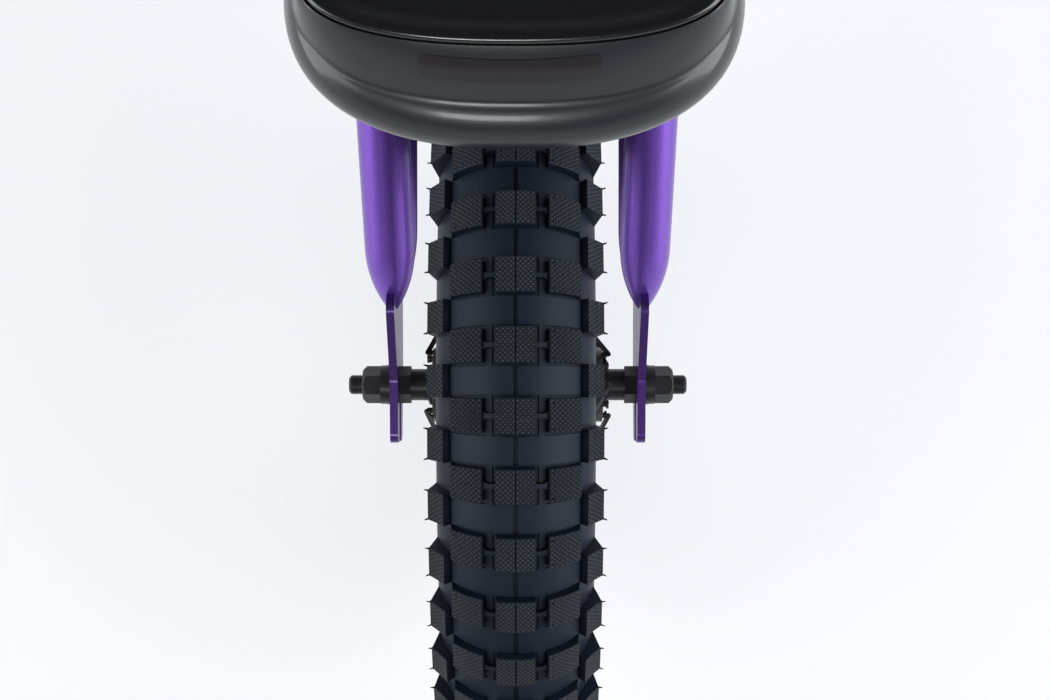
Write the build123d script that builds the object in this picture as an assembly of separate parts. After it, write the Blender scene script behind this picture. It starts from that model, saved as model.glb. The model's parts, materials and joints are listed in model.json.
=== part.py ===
from build123d import *
import math
import os

# A child's balance bike with 12-inch wheels, in the BMX style. Each sub-part is written to
# its own STEP file. X points forward, Y to the rider's left and Z up. The floor is Z = 0, and
# the origin lies on the floor midway between the axles. All sizes are in millimetres.

# ---- frame and fork layout ----
WHEELBASE = 590.0
TYRE_RADIUS = 165.0
HEAD_ANGLE = 70.0
FORK_RAKE = 28.0
SEAT_ANGLE = 72.0
SEAT_TUBE_FOOT_AHEAD = TYRE_RADIUS + 50.0  # from the rear axle, at the height of the chain stays
CHAIN_STAY_DROP = 7.0  # below the rear axle
SEAT_STAY_SLOPE = 35.0

# ---- tubes: outer radius and wall ----
HEAD_TUBE_RADIUS, HEAD_TUBE_WALL = 18.5, 1.5
TOP_TUBE_RADIUS, DOWN_TUBE_RADIUS = 12.7, 14.3
SEAT_TUBE_RADIUS = 15.0
STAY_RADIUS, CHAIN_STAY_RADIUS = 9.6, 8.0
FORK_LEG_RADIUS = 11.1
STEERER_RADIUS = 14.3
POST_RADIUS = 12.7
BAR_RADIUS, CROSSBAR_RADIUS = 11.1, 8.0
TUBE_WALL = 1.6
TIP_LENGTH = 31.0  # the pointed dome that closes each stay and fork leg on its dropout
TIP_SOLID = 10.0

# ---- axle, hub and dropouts, measured outwards from the wheel's middle plane ----
OVER_LOCKNUTS = 95.0
DROPOUT_THICKNESS = 3.2
AXLE_RADIUS = 3.97
AXLE_BARE_END, AXLE_END_RELIEF, AXLE_END_GAP = 5.6, 0.2, 0.4  # the end is turned down past each nut
SLOT_CLEARANCE = 0.18
LOCKNUT_HEIGHT, LOCKNUT_FLATS = 4.5, 13.0
CONE_RADIUS, CONE_RACE_RADIUS, CONE_FACE_RADIUS = 6.35, 5.2, 8.2
WASHER_RADIUS, WASHER_HEIGHT = 8.0, 2.0
NUT_FLANGE_RADIUS, NUT_FLANGE_HEIGHT = 7.8, 2.4
NUT_FLATS, NUT_HEIGHT = 13.0, 7.3
FLANGE_FACE, FLANGE_THICKNESS, FLANGE_RADIUS = OVER_LOCKNUTS / 2 - 13.6, 2.4, 15.0
HUB_BARREL_RADIUS, HUB_BORE_RADIUS, CUP_HOUSING_RADIUS = 9.0, 6.6, 11.3
BALL_RADIUS, BALL_COUNT, BALL_CIRCLE = 2.38, 9, 7.9
BALL_PLANE = OVER_LOCKNUTS / 2 - 16.9
ROLLING_GAP = 0.3
SEAT_GAP = 0.05

# ---- wheel ----
CASING_RADIUS, CASING_WALL, TREAD_DEPTH = 25.5, 3.0, 3.0
CENTRE_BLOCK_HALF, SIDE_BLOCK_EDGE, SHOULDER_HALF = 6.0, 20.5, 27.6
TYRE_HEIGHT, BEAD_HALF = 63.5, 12.4
RIM_FLANGE_HEIGHT, RIM_FLANGE_WALL, RIM_DEPTH, RIM_WALL = 6.0, 1.6, 15.0, 1.8
TUBE_RUBBER = 1.2
SPOKE_COUNT, SPOKE_RADIUS, SPOKE_CIRCLE = 20, 1.0, 13.0
SPOKE_HEAD_RADIUS, ELBOW_LIFT = 1.65, 1.5
NIPPLE_RADIUS, NIPPLE_LENGTH, NIPPLE_HEAD_RADIUS = 2.0, 11.0, 2.7
VALVE_RADIUS, VALVE_LENGTH, VALVE_CAP_LENGTH = 3.9, 46.0, 11.0

# ---- steering, measured up the steering axis from the foot of the fork's rake ----
CROWN_HEIGHT = TYRE_RADIUS + 19.0
CROWN_COLLAR_TOP = CROWN_HEIGHT + 15.0
HEAD_TUBE_LOW, HEAD_TUBE_HIGH = CROWN_HEIGHT + 33.0, CROWN_HEIGHT + 119.0
HEADSET_RADIUS, BEARING_RADIUS, BEARING_BORE, BEARING_HEIGHT = 22.3, 20.0, 15.0, 6.4
CUP_DEPTH, CUP_SKIRT = 13.5, 10.0
COVER_HEIGHT, SPACER_HEIGHT = 3.6, 6.0
STEM_HEIGHT, STEM_REACH, STEM_HALF_WIDTH = 38.0, 32.0, 24.0
STEM_FACE_DEPTH, FACE_SCREW_ASIDE, FACE_SCREW_RISE = 15.0, 17.0, 14.6
PINCH_SCREW_BEHIND, PINCH_SCREW_RISE = 21.0, 9.0
TOP_CAP_HEIGHT = 4.0
TOP_TUBE_AT_HEAD, DOWN_TUBE_AT_HEAD = HEAD_TUBE_HIGH - 17.0, HEAD_TUBE_LOW + 26.0
BAR_CLAMP_GAP = 0.05

# ---- handlebar ----
BAR_HALF_WIDTH, BAR_RISE, BAR_SWEEP = 215.0, 105.0, 16.0
BAR_FOOT, BAR_SHOULDER = 48.0, 95.0  # half-widths where the uprights start and end
BAR_BEND_RADIUS = 35.0
GRIP_RADIUS, GRIP_LENGTH, GRIP_FLANGE_RADIUS, GRIP_END_RADIUS = 15.0, 92.0, 22.0, 18.5
CROSSBAR_HEIGHT = 64.0

# ---- seat post and saddle, measured up the seat tube from its foot ----
SEAT_TUBE_LOW, SEAT_TUBE_HIGH = -18.0, 154.0
TOP_TUBE_AT_SEAT = 100.0
POST_LOW, POST_HIGH = 78.0, 196.0
POST_CLEARANCE = 0.1
COLLAR_HEIGHT, COLLAR_WALL = 14.0, 3.4
SADDLE_BOLT_AHEAD = 22.0
SADDLE_BOLT_RISE = 169.0  # above the rear axle, as are the bottom and the seam
RAIL_RADIUS, RAIL_SPREAD, RAIL_ABOVE_BOLT = 3.5, 22.0, 10.5
RAIL_CLEARANCE = 0.05
SADDLE_TAIL_BEHIND, SADDLE_LENGTH, SADDLE_HALF_WIDTH = 146.5, 230.5, 63.5  # behind the foot
SADDLE_TAIL_DEPTH, SADDLE_TAIL_POWER = 43.0, 2.4
SADDLE_NOSE_RADIUS = 24.0
SADDLE_BOTTOM_RISE, SADDLE_SEAM_RISE = 198.0, 212.0
PAD_STEPS = ((0, 0), (11, 1.5), (18, 6), (23, 14))  # rise above the seam and inset from the outline
SADDLE_SHELL = 3.0

# ---- small screws ----
M8, M6, M5 = 4.0, 3.0, 2.5
M6_HEAD, M5_HEAD = 5.0, 4.2
HOLE_CLEARANCE = 0.15

# ---- places that follow from the sizes above ----
REAR_AXLE = Vector(-WHEELBASE / 2, 0, TYRE_RADIUS)
FRONT_AXLE = Vector(WHEELBASE / 2, 0, TYRE_RADIUS)
HALF_SPACING = (OVER_LOCKNUTS + DROPOUT_THICKNESS) / 2  # middle plane to the middle of a dropout
NUT_TOP = OVER_LOCKNUTS / 2 + DROPOUT_THICKNESS + WASHER_HEIGHT + NUT_FLANGE_HEIGHT + NUT_HEIGHT
AXLE_HALF = NUT_TOP + AXLE_BARE_END
AXLE_END_RADIUS = AXLE_RADIUS - AXLE_END_RELIEF
BEAD_SEAT_RADIUS = TYRE_RADIUS - TYRE_HEIGHT
SADDLE_BOLT_HEIGHT = REAR_AXLE.Z + SADDLE_BOLT_RISE
SADDLE_TAIL = REAR_AXLE.X + SEAT_TUBE_FOOT_AHEAD - SADDLE_TAIL_BEHIND
SADDLE_NOSE = SADDLE_TAIL + SADDLE_LENGTH
SADDLE_BOTTOM = REAR_AXLE.Z + SADDLE_BOTTOM_RISE
SADDLE_SEAM = REAR_AXLE.Z + SADDLE_SEAM_RISE


def tilted(point, angle, ahead_of_axis=0.0):
    """A plane whose Z runs up a tube that leans back by an angle. The stated point lies in its
    XY plane, some way ahead of the tube's axis."""
    lean = math.radians(angle)
    up = Vector(-math.cos(lean), 0, math.sin(lean))
    ahead = Vector(math.sin(lean), 0, math.cos(lean))
    return Plane(origin=Vector(point) - ahead * ahead_of_axis, x_dir=ahead, z_dir=up)


STEERING = tilted(FRONT_AXLE, HEAD_ANGLE, FORK_RAKE)
CHAIN_STAY_Z = REAR_AXLE.Z - CHAIN_STAY_DROP
SEAT = tilted((REAR_AXLE.X + SEAT_TUBE_FOOT_AHEAD, 0, CHAIN_STAY_Z), SEAT_ANGLE)
STEM_LOW = HEAD_TUBE_HIGH + CUP_DEPTH - 2.5 + COVER_HEIGHT + SPACER_HEIGHT
STEM_MIDDLE = STEM_LOW + STEM_HEIGHT / 2
SLOPE = Vector(math.cos(math.radians(SEAT_STAY_SLOPE)), 0, math.sin(math.radians(SEAT_STAY_SLOPE)))


# ---------------------------------------------------------------- helpers

def save(node, *shapes):
    """Write the solids of some shapes to one STEP file."""
    solids = [solid for shape in shapes for solid in shape.solids()]
    export_step(Compound(children=solids), f"parts/{node}.step")


def ring(inner, outer, low, high):
    """A hollow cylinder about Z between two heights; an inner radius of 0 leaves it solid."""
    on_base = (Align.CENTER, Align.CENTER, Align.MIN)
    body = Cylinder(outer, high - low, align=on_base)
    if inner:
        body -= Cylinder(inner, high - low, align=on_base)
    return Pos(0, 0, low) * body


def across(shape):
    """Turn a shape made about Z so that it lies along Y."""
    return Rot(-90, 0, 0) * shape


def both(shape):
    """A shape and its copy on the other side of the bike's middle plane."""
    return [shape, mirror(shape, about=Plane.XZ)]


def lathe_y(*points):
    """Turn an outline of (radius, y) points about Y."""
    return revolve(make_face(Polyline(*points, close=True)), Axis.Y)


def rod(start, end, radius):
    """A solid cylinder from one point to another."""
    start, end = Vector(start), Vector(end)
    return extrude(Plane(origin=start, z_dir=end - start) * Circle(radius), (end - start).length)


def tube(start, end, radius, wall=TUBE_WALL):
    """A hollow cylinder from one point to another."""
    return rod(start, end, radius) - rod(start, end, radius - wall)


def hexagon(flats, low, high):
    """A hexagonal prism about Z."""
    face = RegularPolygon(flats / 2, 6, major_radius=False)
    return Pos(0, 0, low) * extrude(face, high - low)


def box(x, y, z):
    """A box between two values on each axis."""
    size = [b - a for a, b in (x, y, z)]
    return Pos(x[0], y[0], z[0]) * Box(*size, align=(Align.MIN, Align.MIN, Align.MIN))


def bent(path, radius, wall=0.0):
    """A round tube, or a solid wire, along a path."""
    section = Plane(origin=path @ 0, z_dir=path % 0) * Circle(radius)
    if wall:
        section -= Plane(origin=path @ 0, z_dir=path % 0) * Circle(radius - wall)
    return sweep(section, path=path)


def axis_point(plane, height, ahead=0.0, left=0.0):
    """A point given in a plane's own frame: ahead of, left of and up its Z axis."""
    return plane.from_local_coords(Vector(ahead, left, height))


# ---------------------------------------------------------------- stays and fork legs

def pointed_tip(radius, wall):
    """A dome about Z that opens from a point into a tube of the given radius."""

    def ogive(reach, length, start):
        bow = (reach**2 + length**2) / (2 * reach)
        half = length / 2
        middle = (reach - bow + math.sqrt(bow**2 - half**2), 0, start + half)
        arc = ThreePointArc((0, 0, start), middle, (reach, 0, start + length))
        edges = Polyline((reach, 0, start + length), (0, 0, start + length), (0, 0, start))
        return revolve(make_face([arc, *edges.edges()]), Axis.Z)

    return ogive(radius, TIP_LENGTH, 0) - ogive(radius - wall, TIP_LENGTH - TIP_SOLID, TIP_SOLID)


def leg(tip, direction, bend_at, radius):
    """The left-hand tube of a pair: pointed tip, straight run, then a quarter bend that ends in
    the bike's middle plane. The bend starts a stated distance from the tip."""
    tip, direction = Vector(tip), Vector(direction).normalized()
    to_middle = Vector(0, -HALF_SPACING, 0)
    start = tip + direction * TIP_LENGTH
    bend = tip + direction * bend_at
    centre = bend + to_middle
    halfway = centre + (direction * HALF_SPACING - to_middle) * math.sqrt(0.5)
    arc = ThreePointArc(bend, halfway, centre + direction * HALF_SPACING)
    path = Wire([Line(start, bend).edge(), arc.edge()])
    dome = Plane(origin=tip, z_dir=direction).location * pointed_tip(radius, TUBE_WALL)
    return dome + bent(path, radius, TUBE_WALL)


def plate(outline, hole_cutter, corner=6.0):
    """The left-hand dropout: an outline of (x, z) points extruded to the plate's thickness."""
    inner = Plane(origin=(0, OVER_LOCKNUTS / 2, 0), x_dir=(1, 0, 0), z_dir=(0, -1, 0))
    face = make_face(Polyline(*outline, close=True))
    face = fillet(face.vertices(), corner)
    return extrude(inner * face, -DROPOUT_THICKNESS) - hole_cutter


def axle_slot(direction, reach):
    """The cutter for an axle slot that runs from the wheel's axis out of a plate."""
    width = 2 * (AXLE_RADIUS + SLOT_CLEARANCE)
    span = (OVER_LOCKNUTS / 2 - 5, OVER_LOCKNUTS / 2 + DROPOUT_THICKNESS + 5)
    channel = box((0, reach), span, (-width / 2, width / 2))
    turn = -math.degrees(math.atan2(direction[1], direction[0]))
    return Rot(0, turn, 0) * (channel + across(ring(0, width / 2, *span)))


def rear_triangle(seat_tube_cut):
    """Both dropouts and all four stays, in the bike's frame."""
    axle = Pos(*REAR_AXLE)
    slot = axle_slot((-1, 0), 40)
    outline = [(-23, -12), (-23, 12), (2, 14), (30, 33), (47, 20), (30, 3), (52, -1), (52, -13), (8, -15)]
    left_plate = axle * plate(outline, slot, corner=4.0)
    seat_tip = REAR_AXLE + Vector(28.2, HALF_SPACING, 15)
    chain_tip = REAR_AXLE + Vector(32, HALF_SPACING, -CHAIN_STAY_DROP)
    chain_reach = SEAT.origin.X - 7 - HALF_SPACING - chain_tip.X
    seat_reach = 121.0
    seat_stay = leg(seat_tip, SLOPE, seat_reach, STAY_RADIUS) - left_plate - seat_tube_cut
    chain_stay = leg(chain_tip, (1, 0, 0), chain_reach, CHAIN_STAY_RADIUS)
    chain_stay = chain_stay - left_plate - seat_tube_cut
    save("rear_dropouts", *both(left_plate))
    for side, stay in zip(("left", "right"), both(seat_stay)):
        save(f"seat_stay_{side}", stay)
    for side, stay in zip(("left", "right"), both(chain_stay)):
        save(f"chain_stay_{side}", stay)


def front_frame():
    """Head, top, down and seat tubes, welded end to face."""
    head_cut = rod(axis_point(STEERING, HEAD_TUBE_LOW - 60), axis_point(STEERING, HEAD_TUBE_HIGH + 60),
                   HEAD_TUBE_RADIUS)
    seat_cut = rod(axis_point(SEAT, SEAT_TUBE_LOW - 60), axis_point(SEAT, SEAT_TUBE_HIGH + 60),
                   SEAT_TUBE_RADIUS)
    head = ring(HEAD_TUBE_RADIUS - HEAD_TUBE_WALL, HEAD_TUBE_RADIUS, HEAD_TUBE_LOW, HEAD_TUBE_HIGH)
    seat_bore = POST_RADIUS + POST_CLEARANCE
    seat = ring(seat_bore, SEAT_TUBE_RADIUS, SEAT_TUBE_LOW, SEAT_TUBE_HIGH)
    seat -= box((-SEAT_TUBE_RADIUS - 5, 0), (-1, 1), (SEAT_TUBE_HIGH - COLLAR_HEIGHT, SEAT_TUBE_HIGH + 5))
    top = tube(axis_point(STEERING, TOP_TUBE_AT_HEAD), axis_point(SEAT, TOP_TUBE_AT_SEAT), TOP_TUBE_RADIUS)
    down = tube(axis_point(STEERING, DOWN_TUBE_AT_HEAD), axis_point(SEAT, 0), DOWN_TUBE_RADIUS)
    save("head_tube", STEERING.location * head)
    save("seat_tube", SEAT.location * seat)
    save("top_tube", top - head_cut - seat_cut)
    save("down_tube", down - head_cut - seat_cut)
    return seat_cut


def fork():
    """Steerer, two legs and the fork's dropouts, in the steering frame."""
    collar = CROWN_HEIGHT + FORK_LEG_RADIUS + 0.4
    steerer_top = STEM_LOW + STEM_HEIGHT - 2
    foot = CROWN_HEIGHT - 1.05 * FORK_LEG_RADIUS
    bore = STEERER_RADIUS - TUBE_WALL
    steerer = ring(bore, STEERER_RADIUS, foot, steerer_top)
    steerer += ring(bore, HEAD_TUBE_RADIUS - HEAD_TUBE_WALL, collar, CROWN_COLLAR_TOP)
    steerer_cut = ring(0, STEERER_RADIUS, foot - 40, steerer_top)
    outline = [(-8, 34), (8, 34), (14, 16), (FORK_RAKE + 11, 9), (FORK_RAKE + 12, -11),
               (FORK_RAKE - 4, -13), (-8, 8)]
    slot = Pos(FORK_RAKE, 0, 0) * axle_slot((0.35, -1), 40)
    left_plate = plate(outline, slot, corner=5.0)
    left_leg = leg((0, HALF_SPACING, 6), (0, 0, 1), CROWN_HEIGHT - HALF_SPACING - 6, FORK_LEG_RADIUS)
    left_leg = left_leg - left_plate - steerer_cut
    save("fork_steerer", STEERING.location * steerer)
    save("fork_dropouts", *[STEERING.location * shape for shape in both(left_plate)])
    for side, shape in zip(("left", "right"), both(left_leg)):
        save(f"fork_leg_{side}", STEERING.location * shape)


# ---------------------------------------------------------------- headset, stem and handlebar

def headset():
    """Pressed cups, two cartridge bearings, the crown race, the cover and the spacer."""
    skirt = HEAD_TUBE_RADIUS - HEAD_TUBE_WALL - 0.02
    cavity = BEARING_RADIUS + ROLLING_GAP
    body = ring(BEARING_BORE, HEADSET_RADIUS, -CUP_DEPTH, 0)
    body -= ring(0, cavity, -CUP_DEPTH - 1, -CUP_DEPTH + BEARING_HEIGHT + 1.6)
    cup = body + ring(BEARING_BORE, skirt, -0.5, CUP_SKIRT)
    lower = Pos(0, 0, HEAD_TUBE_LOW) * cup
    upper = Pos(0, 0, HEAD_TUBE_HIGH) * Rot(180, 0, 0) * cup
    save("headset_cups", STEERING.location * lower, STEERING.location * upper)

    seat = STEERER_RADIUS + SEAT_GAP
    race_top = HEAD_TUBE_LOW - CUP_DEPTH + 1.2
    race = ring(seat, 17.0, CROWN_COLLAR_TOP, race_top)
    race += ring(seat, BEARING_RADIUS, CROWN_COLLAR_TOP, HEAD_TUBE_LOW - CUP_DEPTH - 0.8)
    save("crown_race", STEERING.location * race)

    bearing = ring(BEARING_BORE, BEARING_RADIUS, 0, BEARING_HEIGHT)
    bearing = chamfer(bearing.edges().filter_by(GeomType.CIRCLE), 0.5)
    upper_at = HEAD_TUBE_HIGH + CUP_DEPTH - BEARING_HEIGHT - 1.2
    bearings = [Pos(0, 0, low) * bearing for low in (race_top, upper_at)]
    save("headset_bearings", *[STEERING.location * shape for shape in bearings])

    cover_at = upper_at + BEARING_HEIGHT
    spacer_at = cover_at + COVER_HEIGHT - 1.3 + 2.0
    cover = ring(seat, 17.0, cover_at, spacer_at)
    cover += ring(seat, HEADSET_RADIUS, HEAD_TUBE_HIGH + CUP_DEPTH + 0.6, spacer_at)
    save("headset_cover", STEERING.location * cover)
    save("headset_spacer", STEERING.location * ring(seat, 17.0, spacer_at, STEM_LOW))


def stem():
    """Stem body, faceplate, its screws, and the top cap with its screw and star nut."""
    top = STEM_LOW + STEM_HEIGHT
    half = STEM_HALF_WIDTH
    split = 0.8
    bore = STEERER_RADIUS + SEAT_GAP
    bar_bore = across(ring(0, BAR_RADIUS + BAR_CLAMP_GAP, -half - 1, half + 1))
    bar_bore = Pos(STEM_REACH, 0, STEM_MIDDLE) * bar_bore
    body = ring(0, STEERER_RADIUS + 4.5, STEM_LOW, top)
    body += box((4, STEM_REACH - split), (-half, half), (STEM_LOW, top))
    body += box((-27, -14), (-12, 12), (STEM_LOW, top))
    body = body - box((-30, 0), (-1, 1), (STEM_LOW - 1, top + 1)) - ring(0, bore, STEM_LOW - 1, top + 1)
    face = box((STEM_REACH + split, STEM_REACH + STEM_FACE_DEPTH), (-half, half), (STEM_LOW, top))
    face = fillet(face.edges().filter_by(Axis.Y).group_by(Axis.X)[-1], 9.0)

    front = Pos(STEM_REACH + STEM_FACE_DEPTH, 0, 0) * Rot(0, -90, 0)
    front_screw = front * (ring(0, M5, 0.2, 34) + ring(0, M5_HEAD, -3.5, 0.2))
    heights = (STEM_MIDDLE - FACE_SCREW_RISE, STEM_MIDDLE + FACE_SCREW_RISE)
    places = [(0, y, z) for y in (-FACE_SCREW_ASIDE, FACE_SCREW_ASIDE) for z in heights]
    screws = [Pos(*place) * front_screw for place in places]
    behind = Pos(-PINCH_SCREW_BEHIND, 0, 0)
    pinch = behind * across(ring(0, M6, -10, 12) + ring(0, M6_HEAD, 12, 17))
    pinch_heights = (STEM_MIDDLE - PINCH_SCREW_RISE, STEM_MIDDLE + PINCH_SCREW_RISE)
    screws += [Pos(0, 0, z) * pinch for z in pinch_heights]
    front_hole = front * (ring(0, M5 + HOLE_CLEARANCE, 0, 35) + ring(0, M5_HEAD + HOLE_CLEARANCE, -4, 0.2))
    pinch_hole = behind * across(ring(0, M6 + HOLE_CLEARANCE, -11, 13))
    holes = [Pos(*place) * front_hole for place in places]
    holes += [Pos(0, 0, z) * pinch_hole for z in pinch_heights]
    for hole in [*holes, bar_bore]:
        body, face = body - hole, face - hole
    save("stem_body", STEERING.location * body)
    save("stem_faceplate", STEERING.location * face)
    save("stem_bolts", *[STEERING.location * screw for screw in screws])

    cap = ring(M6 + HOLE_CLEARANCE, 17.0, top, top + TOP_CAP_HEIGHT)
    cap = chamfer(cap.edges().group_by(Axis.Z)[-1].sort_by(SortBy.LENGTH)[-1], 1.2)
    screw = ring(0, M6, top - 36, top + TOP_CAP_HEIGHT)
    screw += ring(0, M6_HEAD, top + TOP_CAP_HEIGHT, top + TOP_CAP_HEIGHT + 3)
    star_outer = STEERER_RADIUS - TUBE_WALL - SEAT_GAP
    star = ring(M6 + SEAT_GAP, 6.0, top - 34, top - 20)
    for low in (top - 33, top - 24):
        star += ring(M6 + SEAT_GAP, star_outer, low, low + 1.2)
    save("top_cap", STEERING.location * cap)
    save("top_cap_bolt", STEERING.location * screw, STEERING.location * star)


def handlebar():
    """Bent bar with a rise, its crossbar and two grips, in the steering frame."""
    centre = Pos(STEM_REACH, 0, STEM_MIDDLE)
    foot, shoulder = BAR_FOOT, BAR_SHOULDER
    reach = Vector(-BAR_SWEEP, BAR_HALF_WIDTH - shoulder, 5).normalized()
    left = [Vector(0, foot, 0), Vector(0, shoulder, BAR_RISE)]
    left.append(left[-1] + reach * ((BAR_HALF_WIDTH - shoulder) / reach.Y))
    right = [Vector(point.X, -point.Y, point.Z) for point in reversed(left)]
    bar = bent(FilletPolyline(*right, *left, radius=BAR_BEND_RADIUS), BAR_RADIUS, TUBE_WALL + 0.4)
    outside = bent(FilletPolyline(*right, *left, radius=BAR_BEND_RADIUS), BAR_RADIUS)
    share = CROSSBAR_HEIGHT / BAR_RISE
    cross_y = foot + (shoulder - foot) * share
    crossbar = across(ring(CROSSBAR_RADIUS - TUBE_WALL, CROSSBAR_RADIUS, -cross_y, cross_y))
    crossbar = Pos(0, 0, CROSSBAR_HEIGHT) * crossbar - outside
    crossbar = max(crossbar.solids(), key=lambda solid: solid.volume)

    end = left[-1]
    grip_frame = Plane(origin=end + reach * 4 - reach * GRIP_LENGTH, z_dir=reach)
    sleeve = BAR_RADIUS + SEAT_GAP
    grip = ring(0, GRIP_RADIUS, 0, GRIP_LENGTH)
    grip += ring(0, GRIP_FLANGE_RADIUS, 0, 4) + ring(0, GRIP_END_RADIUS, GRIP_LENGTH - 6, GRIP_LENGTH)
    grip = fillet(grip.edges().filter_by(GeomType.CIRCLE).sort_by(Axis.Z)[-1], 2.5)
    grip -= ring(0, sleeve, -1, GRIP_LENGTH - 4 + SEAT_GAP)
    grip = grip_frame.location * grip
    save("handlebar", STEERING.location * centre * bar)
    save("handlebar_crossbar", STEERING.location * centre * crossbar)
    for side, shape in zip(("left", "right"), both(grip)):
        save(f"grip_{side}", STEERING.location * centre * shape)


# ---------------------------------------------------------------- wheels

def tyre_face():
    """The tyre's section as (radius, y): casing, tread blocks as one envelope, and beads."""
    middle = TYRE_RADIUS - TREAD_DEPTH - CASING_RADIUS

    def on_casing(radius, degrees):
        turn = math.radians(degrees)
        return (middle + radius * math.cos(turn), radius * math.sin(turn))

    blocks = CASING_RADIUS + TREAD_DEPTH
    inner = CASING_RADIUS - CASING_WALL
    side_edge = (middle + math.sqrt(blocks**2 - SIDE_BLOCK_EDGE**2), SIDE_BLOCK_EDGE)
    side_mid = (middle + math.sqrt(blocks**2 - 14.0**2), 14.0)
    heel = BEAD_SEAT_RADIUS + RIM_FLANGE_HEIGHT + 0.5
    edges = [
        Line((TYRE_RADIUS, 0), (TYRE_RADIUS, CENTRE_BLOCK_HALF)),
        ThreePointArc((TYRE_RADIUS, CENTRE_BLOCK_HALF), side_mid, side_edge),
        Line(side_edge, (middle + 11.5, SHOULDER_HALF)),
        Line((middle + 11.5, SHOULDER_HALF), (middle + 6.0, SHOULDER_HALF - 0.8)),
        Line((middle + 6.0, SHOULDER_HALF - 0.8), on_casing(CASING_RADIUS, 80)),
        ThreePointArc(*[on_casing(CASING_RADIUS, turn) for turn in (80, 100, 118)]),
        Line(on_casing(CASING_RADIUS, 118), (heel, BEAD_HALF)),
        Line((heel, BEAD_HALF), (BEAD_SEAT_RADIUS + 0.1, BEAD_HALF)),
        Line((BEAD_SEAT_RADIUS + 0.1, BEAD_HALF), (BEAD_SEAT_RADIUS + 0.1, BEAD_HALF - 3.5)),
        Line((BEAD_SEAT_RADIUS + 0.1, BEAD_HALF - 3.5), (heel - 3, BEAD_HALF - 3.5)),
        Line((heel - 3, BEAD_HALF - 3.5), on_casing(inner, 118)),
        ThreePointArc(on_casing(inner, 118), on_casing(inner, 60), on_casing(inner, 0)),
        Line(on_casing(inner, 0), (TYRE_RADIUS, 0)),
    ]
    half = make_face([line.edge() for line in edges])
    return half + mirror(half, about=Plane.XZ)


def rim_face():
    """The rim's section as (radius, y): two hooks, the tyre well and a hollow box below it."""
    hook_in, hook_out = BEAD_HALF + 0.15, BEAD_HALF + 0.15 + RIM_FLANGE_WALL
    top, seat = BEAD_SEAT_RADIUS + RIM_FLANGE_HEIGHT, BEAD_SEAT_RADIUS
    bed = BEAD_SEAT_RADIUS - RIM_DEPTH
    right = [(top, hook_out), (top, hook_in), (seat, hook_in), (seat, 8.0), (seat - 4, 6.0)]
    lower = [(bed, 6.0), (bed + 3.5, 10.5), (seat - 4, hook_out)]
    outline = right + [(r, -y) for r, y in reversed(right)] + [(r, -y) for r, y in reversed(lower)] + lower
    hollow = [(bed + RIM_WALL, 5.2), (bed + 4.6, 9.2), (seat - 6, 10.6), (seat - 5.8, 5.2)]
    hollow += [(r, -y) for r, y in reversed(hollow)]
    return make_face(Polyline(*outline, close=True)) - make_face(Polyline(*hollow, close=True))


def spoke_lines():
    """Start, end and side of the hub hole for each spoke: hub to rim, crossing once."""
    pitch = 360 / SPOKE_COUNT
    rim_reach = BEAD_SEAT_RADIUS - RIM_DEPTH + RIM_WALL
    lines = []
    for side in (1, -1):
        for index in range(SPOKE_COUNT // 2):
            leads = index % 2 == 0
            hub = math.radians(2 * pitch * index + (pitch if side < 0 else 0))
            turn = hub + math.radians(2 * pitch if leads else -2 * pitch)
            run = SPOKE_RADIUS + 0.05
            y = FLANGE_FACE + run + ELBOW_LIFT if leads else FLANGE_FACE - FLANGE_THICKNESS - run
            start = Vector(SPOKE_CIRCLE * math.cos(hub), side * y, SPOKE_CIRCLE * math.sin(hub))
            end = Vector(rim_reach * math.cos(turn), 0, rim_reach * math.sin(turn))
            far = FLANGE_FACE - FLANGE_THICKNESS - 1.2 if leads else FLANGE_FACE + 1.2
            head = Vector(start.X, side * far, start.Z)
            lines.append((start, end, head))
    return lines


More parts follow.
